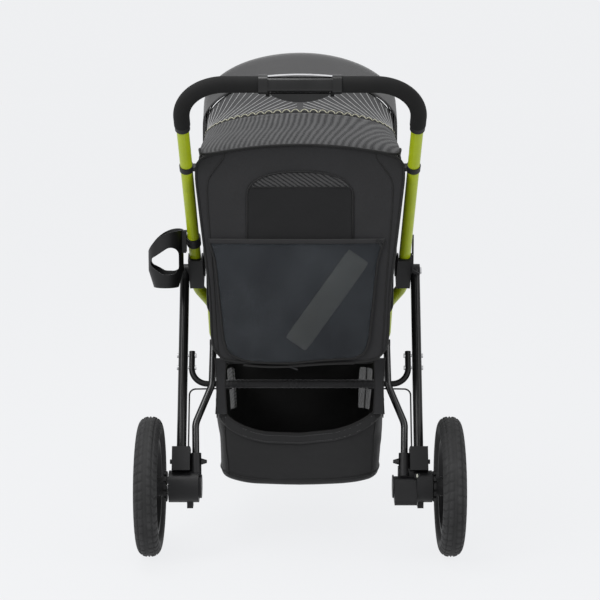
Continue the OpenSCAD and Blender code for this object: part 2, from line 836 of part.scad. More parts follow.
// Rounded plastic ends that turn on the main pivot pins
module leg_caps() {
    color(black) both_sides() on_leg() difference() {
        union() {
            across(-leg_w / 2, leg_w / 2, 0, 0, cap_r);
            linear_extrude(leg_start) leg_section();
        }
        across(-leg_w, leg_w, 0, 0, pin_d / 2 + running);
    }
}

// Place of an inner strut's middle line at a height, and the direction of its lowest run
function strut_y(z) = strut_foot[1] + (strut_top[1] - strut_foot[1])
    * (z - strut_foot[2]) / (strut_top[2] - strut_foot[2]);
strut_path = [strut_foot, [228, strut_y(282), 282], [193, strut_y(362), 362], strut_top];
strut_rise = unit(strut_path[1] - strut_foot);

// Sockets for the leg and the inner strut, on top of a hub
module hub_sockets() {
    on_leg() translate([0, 0, leg_end - 44]) linear_extrude(52) square([39, 38], center = true);
    tube(strut_foot - 22 * strut_rise, strut_foot + 28 * strut_rise, 24);
    translate([214, strut_foot[1], 205]) rotate([0, -90, 0]) cylinder(h = 12, r1 = 7, r2 = 3.5);
    across(276, 282, leg_y(205), 205, 5);
}

module hub_bores(in_x) {
    across(in_x, hub_out_x + 5, rear_axle_y, rear_axle_z, axle_d / 2 + running);
    on_leg() translate([0, 0, leg_end - 52]) linear_extrude(52) leg_section();
    tube(strut_foot, strut_foot + 60 * strut_rise, strut_d);
    translate([232 - gap, rear_axle_y - 10 - gap, 100])
        cube([13 + 2 * gap, 20 + 2 * gap, 31]);
}

module hub_housing_left() {
    color(black) difference() {
        union() {
            across(hub_in_x, hub_out_x, rear_axle_y, rear_axle_z, hub_r);
            across(hub_in_x - 6, hub_in_x, rear_axle_y, rear_axle_z, hub_r - 9);
            hub_sockets();
        }
        hub_bores(hub_in_x + 4);
    }
}

// The right hub also carries the pedal's barrel
module hub_housing_right() {
    color(black) mirror([1, 0, 0]) difference() {
        union() {
            across(right_hub_in_x, hub_out_x + 2, rear_axle_y, rear_axle_z, hub_r);
            across(right_barrel_in_x, right_hub_in_x, rear_axle_y, rear_axle_z, pedal_bore_r);
            translate([213, rear_axle_y - 22, rear_axle_z + pedal_bore_r - 4])
                cube([40, 26, 22]);
            across(right_barrel_in_x - 2.5, right_barrel_in_x, rear_axle_y, rear_axle_z, 25);
            translate([247, rear_axle_y + 8, rear_axle_z + 24]) cube([12, 14, 10]);
            hub_sockets();
        }
        across(235, hub_out_x + 5, rear_axle_y, rear_axle_z, axle_d / 2 + running);
        on_leg() translate([0, 0, leg_end - 52]) linear_extrude(52) leg_section();
        tube(strut_foot, strut_foot + 60 * strut_rise, strut_d);
        translate([right_hub_in_x + 3 - gap, rear_axle_y - 10 - gap, 100])
            cube([13 + 2 * gap, 20 + 2 * gap, 31]);
    }
}

module rear_crossbar() {
    low_y = leg_y(bar_z);
    color(black) difference() {
        bent_tube([[bar_x, leg_y(bar_top_z), bar_top_z], [bar_x, low_y, bar_z],
                   [-bar_x, low_y, bar_z], [-bar_x, leg_y(bar_top_z), bar_top_z]], bar_bend, bar_d, 1.5);
        both_sides() for (z = bolt_zs) across(bar_x - 10, bar_x + 10, leg_y(z), z, 3.1);
    }
}

module crossbar_bolts() {
    color(silver) both_sides() for (z = bolt_zs) {
        across(bar_x - 9, leg_x + leg_w / 2 + 3, leg_y(z), z, 3);
        across(bar_x - 9.5, bar_x - bar_d / 2, leg_y(z), z, 5);
        across(leg_x + leg_w / 2 + 0.1, leg_x + leg_w / 2 + 3.5, leg_y(z), z, 5);
    }
}

// A padded fabric sleeve around the crossbar
module crossbar_sleeve() {
    color(charcoal) difference() {
        across(-165, 165, leg_y(bar_z), bar_z, bar_d / 2 + 2.2);
        across(-170, 170, leg_y(bar_z), bar_z, bar_d / 2);
    }
}

// Bent tubes from the hubs up to the seat rails, each with a peg that runs in its rail
module inner_struts() {
    color(black) both_sides() {
        difference() {
            bent_tube(strut_path, 45, strut_d, 1.6);
            across(170, 230, leg_y(bar_z), bar_z, bar_d / 2 + running);
        }
        across(strut_top[0] - strut_d / 2, strut_top[0] + strut_d / 2,
               strut_top[1], strut_top[2], strut_d / 2);
        across(rail_in_x + 1.5, strut_top[0], strut_top[1], strut_top[2], peg_d / 2);
    }
}

// Brake cables held along the crossbar and down the inside of each leg
module brake_cables() {
    color(black) both_sides() bent_tube([[150, leg_y(bar_z) - 4, 352], [242.5, leg_y(352), 352],
        [242.5, leg_y(236), 236]], 14, 3.4);
}

// Foot pedal turning on the right hub's barrel
module brake_pedal() {
    color(black) mirror([1, 0, 0]) difference() {
        hull() {
            across(right_barrel_in_x + 0.6, right_hub_in_x - 0.6, rear_axle_y, rear_axle_z, 27);
            across(right_barrel_in_x + 0.6, right_hub_in_x - 0.6, rear_axle_y + 34, rear_axle_z - 24, 9);
        }
        across(right_barrel_in_x - 5, right_hub_in_x + 5, rear_axle_y, rear_axle_z, pedal_bore_r + running);
        translate([200, rear_axle_y - 50, rear_axle_z - 4]) cube([60, 68, 60]);
    }
}

// Push button under a hub that frees its wheel
module wheel_release(x) {
    color(black) translate([x, rear_axle_y - 10, 105]) cube([13, 20, 20]);
}
module wheel_release_left() wheel_release(232);
module wheel_release_right() mirror([1, 0, 0]) wheel_release(right_hub_in_x + 3);

// Thumb lever that locks the fold, on the right joint housing
module safety_catch() {
    color(black) mirror([1, 0, 0]) difference() {
        union() {
            hull() {
                translate([catch_in_x, 119, 600]) cube([3.6, 12, 4]);
                translate([catch_in_x, 119, 680]) cube([3.6, 12, 4]);
            }
            hull() {
                translate([catch_in_x, 119, 600]) cube([3.6, 12, 6]);
                translate([262, 117, 594]) cube([3.6, 16, 4]);
            }
        }
        lengthwise(110, 140, catch_in_x + 1.6, 640, 1.2);
    }
}

// ---------------------------------------------------------------- wheels

// A tyre's section: width w, height h from the rim, with a rounded crown
function tyre_section(r, w, h) = concat(
    [[r - h, -w * 0.34], [r - h, w * 0.34]],
    [for (i = [0:12]) let (a = 78 - 156 * i / 12)
        [r - h * 0.52 + h * 0.52 * pow(cos(a), 0.8), w / 2 * sin(a) / sin(78) * (1 - 0.02 * cos(a))]]);

module tyre(d, w, h) {
    r = d / 2;
    rotate([0, 90, 0]) rotate_extrude() difference() {
        polygon(tyre_section(r, w, h));
        for (e = [-0.27, -0.09, 0.09, 0.27]) translate([r - 2.2 - 14 * e * e, e * w - 1]) square([8, 2]);
    }
}

// A moulded wheel: rim, spokes and hub, with a bore for the axle
module rim(d, w, h, bore_d, hub_len, spokes) {
    r = d / 2 - h;
    rotate([0, 90, 0]) difference() {
        union() {
            rotate_extrude() polygon([[r, -w * 0.34], [r, w * 0.34], [r - 9, w * 0.34],
                                      [r - 14, w * 0.12], [r - 14, -w * 0.12], [r - 9, -w * 0.34]]);
            translate([0, 0, -hub_len / 2]) cylinder(h = hub_len, r = 21);
            for (k = [0:spokes - 1], e = [-7, 7]) rotate([0, 0, k * 360 / spokes])
                translate([12, e - 3, -5]) cube([r - 24, 6, 10]);
        }
        translate([0, 0, -50]) cylinder(h = 100, d = bore_d);
    }
}

tyre_h = 46;

module on_rear_axle(side) {
    on_side(side) translate([0, rear_axle_y, rear_axle_z]) children();
}

module rear_tyre(side) {
    color(tyre_grey) on_rear_axle(side) translate([rear_wheel_x, 0, 0])
        tyre(rear_wheel_d, rear_wheel_w, tyre_h);
}
module rear_tyre_left() rear_tyre(1);
module rear_tyre_right() rear_tyre(-1);

module rear_rim(side) {
    color(black) on_rear_axle(side) translate([rear_wheel_x, 0, 0])
        rim(rear_wheel_d, rear_wheel_w, tyre_h, axle_d, 40, 6);
}
module rear_rim_left() rear_rim(1);
module rear_rim_right() rear_rim(-1);

disc_teeth = 12;

// A notched ring that the brake's pin drops into
module brake_disc(side) {
    disc_x = hub_out_x + 4;
    color(black) on_rear_axle(side) difference() {
        union() {
            translate([disc_x, 0, 0]) rotate([0, 90, 0]) cylinder(h = 6, r = 33);
            translate([disc_x + 6, 0, 0]) rotate([0, 90, 0])
                cylinder(h = rear_wheel_x - 20 - disc_x - 6, r = 20);
        }
        for (k = [0:disc_teeth - 1]) rotate([k * 360 / disc_teeth, 0, 0])
            translate([disc_x - 1, -3, 27]) cube([8, 6, 8]);
        across(disc_x - 1, rear_wheel_x, 0, 0, axle_d / 2);
    }
}
module brake_disc_left() brake_disc(1);
module brake_disc_right() brake_disc(-1);

module rear_axle(side) {
    color(silver) on_rear_axle(side) {
        across(238, rear_wheel_x + 26, 0, 0, axle_d / 2);
        across(rear_wheel_x + 20.1, rear_wheel_x + 25, 0, 0, 10);
    }
}
module rear_axle_left() rear_axle(1);
module rear_axle_right() rear_axle(-1);

// Front fork with its steering stem
module fork() {
    color(black) difference() {
        union() {
            translate([0, swivel_y, crown_z]) cylinder(h = head_top_z - crown_z + 4, d = stem_d);
            translate([0, swivel_y, head_top_z + 0.6]) cylinder(h = 8, d1 = 34, d2 = 22);
            translate([0, swivel_y, crown_z]) cylinder(h = head_bottom_z - crown_z - 0.6, d = 40);
            hull() for (x = [-1, 1]) translate([x * 22, swivel_y, crown_z - 7])
                cylinder(h = 14, r = 14, $fn = hull_fn);
            both_sides() slab_x(blade_x - blade_w / 2, blade_x + blade_w / 2) hull() {
                translate([swivel_y, crown_z - 2]) circle(r = 14, $fn = hull_fn);
                translate([front_axle_y, front_axle_z]) circle(r = 12, $fn = hull_fn);
            }
        }
        across(-60, 60, front_axle_y, front_axle_z, front_axle_d / 2);
    }
}

module front_tyre() {
    color(tyre_grey) translate([0, front_axle_y, front_axle_z])
        tyre(front_wheel_d, front_wheel_w, 38);
}

module front_rim() {
    color(black) translate([0, front_axle_y, front_axle_z])
        rim(front_wheel_d, front_wheel_w, 38, front_axle_d + 2 * running, 50, 5);
}

module front_axle() {
    color(silver) {
        across(-44, 44, front_axle_y, front_axle_z, front_axle_d / 2);
        both_sides() across(blade_x + blade_w / 2 + 0.1, blade_x + blade_w / 2 + 6,
                            front_axle_y, front_axle_z, 9);
    }
}

// Sliding knob on the front of the steering head that stops the fork turning
module swivel_lock() {
    color(silver) translate([0, swivel_y - 23, 0]) {
        translate([-7, -7.4, 300]) cube([14, 7, 30]);
        translate([-10, -12, 306]) cube([20, 5, 8]);
    }
}

// ---------------------------------------------------------------- the stroller

lower_tube_left();
lower_tube_right();
joint_housing_left();
joint_housing_right();
pivot_pins();
steering_head();
seat_frame();
seat_rails();
hanger_wires();
floor_board();
seat_cushion();
cabin_rear_panel();
cabin_side_left();
cabin_side_right();
cabin_front_panel();
rear_pocket();
rain_cover();
canopy_rear();
canopy_middle();
canopy_bows();
basket();
visor();
visor_bows();
handle_tube();
foam_grip_left();
foam_grip_right();
grip_collars();
centre_grip();
handle_trim();
snap_connectors();
cup_bracket();
fold_trigger();
cup_holder();
rear_leg_left();
rear_leg_right();
leg_caps();
hub_housing_left();
hub_housing_right();
rear_crossbar();
crossbar_bolts();
crossbar_sleeve();
inner_struts();
brake_cables();
brake_pedal();
wheel_release_left();
wheel_release_right();
safety_catch();
rear_tyre_left();
rear_rim_left();
brake_disc_left();
rear_axle_left();
rear_tyre_right();
rear_rim_right();
brake_disc_right();
rear_axle_right();
fork();
front_tyre();
front_rim();
front_axle();
swivel_lock();
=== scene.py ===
"""Folding pet stroller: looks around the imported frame. Metres, front is -Y, +Z is up."""
import json
import math

import bmesh
import bpy
from mathutils import Matrix, Vector, noise


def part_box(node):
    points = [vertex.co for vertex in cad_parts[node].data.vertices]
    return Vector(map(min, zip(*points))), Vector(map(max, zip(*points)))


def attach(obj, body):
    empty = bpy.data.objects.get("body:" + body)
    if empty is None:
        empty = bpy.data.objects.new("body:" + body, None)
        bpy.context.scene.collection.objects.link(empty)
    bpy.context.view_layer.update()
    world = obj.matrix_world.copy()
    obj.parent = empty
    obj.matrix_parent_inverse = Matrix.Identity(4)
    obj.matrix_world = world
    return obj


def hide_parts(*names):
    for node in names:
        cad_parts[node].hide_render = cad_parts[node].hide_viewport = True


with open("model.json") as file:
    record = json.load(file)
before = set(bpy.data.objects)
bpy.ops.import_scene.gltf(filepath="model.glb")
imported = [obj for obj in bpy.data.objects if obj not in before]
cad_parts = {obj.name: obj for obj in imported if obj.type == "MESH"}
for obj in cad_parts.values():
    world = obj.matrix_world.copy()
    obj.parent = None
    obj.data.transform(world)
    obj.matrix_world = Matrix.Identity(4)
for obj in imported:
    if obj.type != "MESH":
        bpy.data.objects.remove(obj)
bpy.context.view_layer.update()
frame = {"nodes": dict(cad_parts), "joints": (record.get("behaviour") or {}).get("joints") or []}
joints = {j["name"]: j for j in frame["joints"]}
nodes = frame["nodes"]
add_to_scene = bpy.context.scene.collection.objects.link
SIDES = {"left": 1, "right": -1}

# ---------------------------------------------------------------- camera, floor and light

CAMERA_AT = Vector((0.0, 3.775, 1.088))
CAMERA_PITCH = 81.43
LENS = 99.5
PALE = (0.868, 0.876, 0.892)


def make_camera():
    data = bpy.data.cameras.new("camera")
    data.lens = LENS
    data.clip_end = 60
    cam = bpy.data.objects.new("camera", data)
    cam.location = CAMERA_AT
    cam.rotation_euler = (math.radians(CAMERA_PITCH), 0, math.pi)
    add_to_scene(cam)
    bpy.context.scene.camera = cam


def area_light(name, at, target, size, power):
    data = bpy.data.lights.new(name, "AREA")
    data.shape = "DISK"
    data.size = size
    data.energy = power
    lamp = bpy.data.objects.new(name, data)
    lamp.location = at
    lamp.rotation_euler = (Vector(target) - Vector(at)).to_track_quat("-Z", "Y").to_euler()
    add_to_scene(lamp)


def make_studio():
    scene = bpy.context.scene
    scene.view_settings.view_transform = "Standard"
    world = bpy.data.worlds.new("studio")
    scene.world = world
    world.use_nodes = True
    back = world.node_tree.nodes["Background"]
    back.inputs["Color"].default_value = (*PALE, 1)
    back.inputs["Strength"].default_value = 0.99
    area_light("key_left", (2.6, 2.8, 2.6), (0, 0.2, 0.5), 1.8, 70)
    area_light("key_right", (-2.8, 2.4, 2.0), (0, 0.2, 0.5), 1.6, 22)
    area_light("top", (0.7, 0.4, 3.2), (0, 0.1, 0.6), 1.6, 40)
    bpy.ops.mesh.primitive_plane_add(size=60, location=(0, 0, 0))
    floor = bpy.context.object
    floor.name = "floor"
    paper = Look("floor_paper", 0.9, spec=0.0)
    paper.set("Base Color", (0.05, 0.05, 0.05, 1))
    paper.set("Emission Color", (*PALE, 1))
    paper.set("Emission Strength", 0.94)
    floor.data.materials.append(paper.mat)


# ---------------------------------------------------------------- materials


def shade(colour, factor):
    return tuple(min(1.0, c * factor) for c in colour)


class Look:
    """A node material being built: short helpers around one Principled BSDF."""

    def __init__(self, name, rough, metal=0.0, spec=0.5):
        self.mat = bpy.data.materials.new(name)
        self.mat.use_nodes = True
        self.tree = self.mat.node_tree
        self.bsdf = self.tree.nodes["Principled BSDF"]
        self.bsdf.inputs["Roughness"].default_value = rough
        self.bsdf.inputs["Metallic"].default_value = metal
        self.bsdf.inputs["Specular IOR Level"].default_value = spec
        coords = self.tree.nodes.new("ShaderNodeTexCoord")
        self.place = coords.outputs["Object"]

    def link(self, a, b):
        self.tree.links.new(a, b)

    def set(self, socket, value):
        self.bsdf.inputs[socket].default_value = value

    def node(self, kind, **inputs):
        """A node with its inputs set by name, each a value or another node's output."""
        n = self.tree.nodes.new("ShaderNode" + kind)
        for name, value in inputs.items():
            socket = n.inputs[name.replace("_", " ")]
            if isinstance(value, bpy.types.NodeSocket):
                self.link(value, socket)
            else:
                socket.default_value = value
        return n

    def noise(self, scale, detail=4.0, rough=0.6, place=None):
        return self.node("TexNoise", Scale=scale, Detail=detail, Roughness=rough,
                         Vector=place or self.place).outputs["Fac"]

    def wave(self, scale, axis, place=None, distort=0.0):
        n = self.node("TexWave", Scale=scale, Distortion=distort, Detail=2.0,
                      Vector=place or self.place)
        n.bands_direction = axis
        return n.outputs["Fac"]

    def turned(self, angles, scale=(1, 1, 1)):
        return self.node("Mapping", Rotation=[math.radians(a) for a in angles], Scale=scale,
                         Vector=self.place).outputs["Vector"]

    def math(self, kind, a, b=0.0):
        n = self.tree.nodes.new("ShaderNodeMath")
        n.operation = kind
        for socket, value in zip(n.inputs, (a, b)):
            if isinstance(value, (int, float)):
                socket.default_value = value
            else:
                self.link(value, socket)
        return n.outputs[0]

    def ramp(self, fac, stops):
        n = self.tree.nodes.new("ShaderNodeValToRGB")
        while len(n.color_ramp.elements) < len(stops):
            n.color_ramp.elements.new(0.5)
        for element, (at, colour) in zip(n.color_ramp.elements, stops):
            element.position = at
            element.color = (*colour, 1)
        self.link(fac, n.inputs["Fac"])
        return n.outputs["Color"]

    def tones(self, fac, colour, *stops):
        """Base colour over a ramp: each stop is a place and how bright the colour is there."""
        ramp = self.ramp(fac, [(at, shade(colour, factor)) for at, factor in stops])
        self.link(ramp, self.bsdf.inputs["Base Color"])

    def roughness(self, fac, low, high):
        n = self.node("MapRange", To_Min=low, To_Max=high, Value=fac)
        self.link(n.outputs["Result"], self.bsdf.inputs["Roughness"])

    def bump(self, height, strength, distance):
        n = self.node("Bump", Strength=strength, Distance=distance, Height=height)
        self.link(n.outputs["Normal"], self.bsdf.inputs["Normal"])

    def alpha(self, output):
        self.link(output, self.bsdf.inputs["Alpha"])


make_camera()
make_studio()


def weave_look(name, colour, threads, rough=0.85, sheen=0.35, wear=1.35):
    """Plain woven cloth: crossed threads, slubs and soft mottling."""
    k = Look(name, rough, spec=0.25)
    warp = k.wave(threads, "DIAGONAL", k.turned((0, 45, 45)))
    weft = k.wave(threads, "Z")
    cloth = k.math("MULTIPLY", warp, weft)
    mottle = k.noise(14, 5, 0.65)
    slub = k.noise(260, 2, 0.5)
    mix = k.math("ADD", k.math("MULTIPLY", mottle, 0.65), k.math("MULTIPLY", slub, 0.35))
    k.tones(mix, colour, (0.3, 0.78), (0.55, 1), (0.8, wear))
    k.bump(k.math("ADD", cloth, k.math("MULTIPLY", slub, 0.6)), 0.35, 0.0006)
    k.roughness(mottle, rough - 0.06, rough + 0.08)
    k.set("Sheen Weight", sheen)
    k.set("Sheen Roughness", 0.5)
    return k.mat


def mesh_look(name, colour, light, threads, cover, stripes=0.0):
    """Knitted mesh: open holes between threads, with a moire of paler diagonal bars."""
    k = Look(name, 0.7, spec=0.3)
    one = k.wave(threads, "DIAGONAL", k.turned((0, 38, 0)))
    two = k.wave(threads, "DIAGONAL", k.turned((0, -52, 0)))
    knit = k.math("MAXIMUM", one, two)
    bars = k.wave(66, "DIAGONAL", k.turned((0, 78, 0)), 1.2)
    patch = k.noise(9, 4, 0.7)
    tone = k.math("ADD", k.math("MULTIPLY", bars, stripes), k.math("MULTIPLY", patch, 1 - stripes))
    k.link(k.ramp(tone, [(0.25, colour), (0.85, light)]), k.bsdf.inputs["Base Color"])
    k.bump(knit, 0.5, 0.0008)
    thread = k.math("GREATER_THAN", knit, 0.93)
    k.alpha(k.math("MAXIMUM", thread, cover))
    k.set("Sheen Weight", 0.1)
    return k.mat


def paint_look(name, colour, rough, coat=0.4, light=1.15, spec=0.5):
    """Powder-coated tube: orange-peel bump, faint scuffs and varied gloss."""
    k = Look(name, rough, spec=spec)
    scuff = k.noise(38, 6, 0.7)
    k.tones(scuff, colour, (0.3, 0.88), (0.6, 1), (0.85, light))
    k.bump(k.noise(900, 2, 0.5), 0.12, 0.0002)
    k.roughness(scuff, rough - 0.05, rough + 0.1)
    k.set("Coat Weight", coat)
    k.set("Coat Roughness", 0.15)
    return k.mat


def plastic_look(name, colour, rough, grain=700, bump=0.25):
    """Moulded plastic with a fine spark-eroded grain and a cloudy tone."""
    k = Look(name, rough, spec=0.28)
    cloud = k.noise(22, 5, 0.6)
    k.tones(cloud, colour, (0.3, 0.8), (0.7, 1.25))
    k.bump(k.noise(grain, 3, 0.6), bump, 0.0003)
    k.roughness(cloud, rough - 0.08, rough + 0.12)
    return k.mat


def metal_look(name, colour, rough, axis="X"):
    """Drawn or turned metal with fine lines."""
    k = Look(name, rough, metal=1.0)
    stretch = {"X": (1, 60, 60), "Y": (60, 1, 60), "Z": (60, 60, 1)}[axis]
    lines = k.noise(30, 6, 0.7, k.turned((0, 0, 0), stretch))
    k.tones(lines, colour, (0.25, 0.75), (0.75, 1.1))
    k.roughness(lines, rough - 0.08, rough + 0.12)
    k.bump(lines, 0.08, 0.0002)
    return k.mat


def foam_look(name, colour):
    """Closed-cell foam: tiny pits and a dull bloom."""
    k = Look(name, 0.8, spec=0.18)
    pits = k.node("TexVoronoi", Scale=900, Vector=k.place)
    cloud = k.noise(30, 5, 0.6)
    k.tones(cloud, colour, (0.3, 0.85), (0.75, 1.3))
    k.bump(pits.outputs["Distance"], 0.3, 0.0004)
    k.roughness(cloud, 0.72, 0.9)
    return k.mat


def tyre_look(name, colour):
    """Tyre rubber with patches of dust."""
    k = Look(name, 0.75, spec=0.35)
    dust = k.noise(16, 6, 0.7)
    fine = k.noise(420, 3, 0.6)
    k.tones(dust, colour, (0.3, 0.6), (0.55, 1), (0.8, 1.9))
    k.bump(fine, 0.25, 0.0004)
    k.roughness(dust, 0.62, 0.88)
    return k.mat


CHARCOAL = (0.0155, 0.0155, 0.0165)
LIME = (0.31, 0.38, 0.004)

fabric = weave_look("charcoal_fabric", CHARCOAL, 420, sheen=0.12)
fabric_dark = weave_look("black_fabric", (0.0075, 0.0075, 0.008), 380, sheen=0.07)
fabric_visor = weave_look("visor_fabric", (0.020, 0.0195, 0.020), 460, sheen=0.3)
lining = weave_look("cabin_lining", (0.013, 0.013, 0.014), 300, sheen=0.1)
pad_fabric = weave_look("cushion_fabric", (0.036, 0.036, 0.039), 260, sheen=0.3)
piping_fabric = weave_look("piping_fabric", (0.006, 0.006, 0.006), 900, rough=0.6, sheen=0.05)
webbing = weave_look("webbing", (0.009, 0.009, 0.009), 640, rough=0.7, sheen=0.08)
pocket_mesh = mesh_look("pocket_mesh", (0.007, 0.009, 0.013), (0.036, 0.042, 0.048), 520, 0.36)
window_mesh = mesh_look("window_mesh", (0.010, 0.010, 0.011), (0.050, 0.050, 0.050), 420, 0.9, 0.85)
canopy_mesh = mesh_look("canopy_mesh", (0.014, 0.014, 0.015), (0.070, 0.070, 0.071), 360, 0.92, 0.6)
side_mesh = mesh_look("side_mesh", (0.13, 0.13, 0.13), (0.26, 0.26, 0.26), 300, 0.60, 0.3)
lime_paint = paint_look("lime_paint", LIME, 0.36, coat=0.15, spec=0.3)
black_paint = paint_look("black_paint", (0.006, 0.006, 0.006), 0.34, coat=0.05, spec=0.22)
gloss_paint = paint_look("gloss_black_paint", (0.006, 0.006, 0.006), 0.22, coat=0.15, spec=0.4)
plastic = plastic_look("moulded_black", (0.008, 0.008, 0.0085), 0.46)
plastic_gloss = plastic_look("gloss_black_plastic", (0.010, 0.010, 0.010), 0.2, bump=0.06)
foam = foam_look("grip_foam", (0.008, 0.008, 0.008))
rubber = tyre_look("tyre_rubber", (0.021, 0.021, 0.0215))
steel = metal_look("bright_zinc", (0.62, 0.62, 0.63), 0.3)
chrome = metal_look("bright_trim", (0.86, 0.86, 0.87), 0.14)
zip_metal = metal_look("dark_zip", (0.10, 0.10, 0.10), 0.35, "Z")
cable_black = plastic_look("cable_sheath", (0.012, 0.012, 0.012), 0.4)
cover_sheet = weave_look("rain_cover_sheet", (0.52, 0.53, 0.47), 200, rough=0.5, sheen=0.1)

NODE_LOOKS = {
    lime_paint: ["lower_tube_left", "lower_tube_right", "handle_tube"],
    black_paint: ["seat_frame", "seat_rails", "hanger_wires", "canopy_bows", "visor_bows",
                  "rear_leg_left", "rear_leg_right", "rear_crossbar", "fork"],
    gloss_paint: ["inner_struts"],
    plastic: ["joint_housing_left", "joint_housing_right", "steering_head", "floor_board",
              "grip_collars", "snap_connectors", "cup_bracket", "cup_holder", "leg_caps",
              "hub_housing_left", "hub_housing_right", "brake_pedal", "wheel_release_left",
              "wheel_release_right", "safety_catch", "rear_rim_left", "rear_rim_right",
              "brake_disc_left", "brake_disc_right", "front_rim"],
    plastic_gloss: ["centre_grip", "fold_trigger"],
    steel: ["pivot_pins", "crossbar_bolts", "rear_axle_left", "rear_axle_right", "front_axle"],
    chrome: ["handle_trim", "swivel_lock"],
    cable_black: ["brake_cables"],
    foam: ["foam_grip_left", "foam_grip_right"],
}


def dress_nodes():
    for look, names in NODE_LOOKS.items():
        for name in names:
            mesh = nodes[name].data
            mesh.materials.clear()
            mesh.materials.append(look)


dress_nodes()

# ---------------------------------------------------------------- mesh helpers


def piece(name, verts, faces, look, body, smooth=True, uvs=None):
    mesh = bpy.data.meshes.new(name)
    mesh.from_pydata([tuple(v) for v in verts], [], faces)
    mesh.validate()
    if uvs is not None:
        layer = mesh.uv_layers.new(name="UVMap")
        for loop in mesh.loops:
            layer.data[loop.index].uv = uvs[loop.vertex_index]
    for p in mesh.polygons:
        p.use_smooth = smooth
    mesh.materials.append(look)
    obj = bpy.data.objects.new(name, mesh)
    add_to_scene(obj)
    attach(obj, body)
    return obj


def apply_modifiers(obj):
    bpy.context.view_layer.update()
    depsgraph = bpy.context.evaluated_depsgraph_get()
    mesh = bpy.data.meshes.new_from_object(obj.evaluated_get(depsgraph))
    obj.modifiers.clear()
    old = obj.data
    obj.data = mesh
    bpy.data.meshes.remove(old)


def bevelled(obj, width):
    bevel = obj.modifiers.new("bevel", "BEVEL")
    bevel.width = width
    bevel.segments = 2
    apply_modifiers(obj)


def facing_out(obj):
    """Turns every face of a closed piece outwards."""
    bm = bmesh.new()
    bm.from_mesh(obj.data)
    bmesh.ops.recalc_face_normals(bm, faces=bm.faces)
    bm.to_mesh(obj.data)
    bm.free()
    return obj


def grid_sheet(name, point, cols, rows, thick, look, body="chassis", subdivide=1,
               closed=False, skip=None, inner=None):
    """A sewn sheet over a grid: point(u, v) with u and v from 0 to 1, given a thickness."""
    across = cols if closed else cols + 1
    verts = []
    uvs = []
    for j in range(rows + 1):
        for i in range(across):
            u, v = i / cols, j / rows
            verts.append(point(u, v))
            uvs.append((u, v))
    faces = []
    for j in range(rows):
        for i in range(cols):
            if skip and skip((i + 0.5) / cols, (j + 0.5) / rows):
                continue
            a = j * across + i
            b = j * across + (i + 1) % across
            faces.append((a, b, b + across, a + across))
    obj = piece(name, verts, faces, look, body, uvs=uvs)
    if subdivide:
        sub = obj.modifiers.new("smooth", "SUBSURF")
        sub.levels = sub.render_levels = subdivide
    solid = obj.modifiers.new("thick", "SOLIDIFY")
    solid.thickness = thick
    solid.offset = 0
    if inner:
        obj.data.materials.append(inner)
        solid.material_offset = 1
    apply_modifiers(obj)
    return obj


def smooth_path(points, steps=6, closed=False):
    """Catmull-Rom points through a few chosen ones."""
    pts = [Vector(p) for p in points]
    n = len(pts)
    out = []
    last = n if closed else n - 1
    for i in range(last):
        p0 = pts[(i - 1) % n] if closed or i > 0 else pts[0]
        p1, p2 = pts[i], pts[(i + 1) % n]
        p3 = pts[(i + 2) % n] if closed or i + 2 < n else pts[-1]
        for s in range(steps):
            t = s / steps
            out.append(0.5 * ((2 * p1) + (p2 - p0) * t + (2 * p0 - 5 * p1 + 4 * p2 - p3) * t * t
                              + (3 * p1 - p0 - 3 * p2 + p3) * t ** 3))
    if not closed:
        out.append(pts[-1])
    return out


def sweep(name, path, section, look, body, closed=False, side=None):
    """A section swept along a path: section is a list of (sideways, up) pairs."""
    n = len(path)
    k = len(section)
    verts = []
    up_hint = Vector(side) if side else Vector((0, 0, 1))
    for i in range(n):
        a = path[(i - 1) % n] if closed or i else path[0]
        b = path[(i + 1) % n] if closed or i < n - 1 else path[-1]
        along = (b - a).normalized()
        u = along.cross(up_hint)
        if u.length < 1e-4:
            u = along.cross(Vector((1, 0, 0)))
        u.normalize()
        v = u.cross(along)
        verts += [path[i] + u * s[0] + v * s[1] for s in section]
    faces = []
    for i in range(n if closed else n - 1):
        m = (i + 1) % n
        for j in range(k):
            q = (j + 1) % k
            faces.append((i * k + j, i * k + q, m * k + q, m * k + j))
    if not closed:
        faces.append(tuple(reversed(range(k))))
        faces.append(tuple((n - 1) * k + j for j in range(k)))
    return facing_out(piece(name, verts, faces, look, body))


def row_of(point, steps, v):
    """Points across a sheet at one height."""
    return [point(i / steps, v) for i in range(steps + 1)]


def circle_section(r, n=8):
    return [(r * math.cos(2 * math.pi * i / n), r * math.sin(2 * math.pi * i / n)) for i in range(n)]


def flat_section(width, thick):
    w, t = width / 2, thick / 2
    return [(-w, -t * 0.6), (-w * 0.96, -t), (w * 0.96, -t), (w, -t * 0.6),
            (w, t * 0.6), (w * 0.96, t), (-w * 0.96, t), (-w, t * 0.6)]


def piping(name, path, body="chassis", r=0.0016, closed=False, side=None):
    return sweep(name, path, circle_section(r), piping_fabric, body, closed, side)


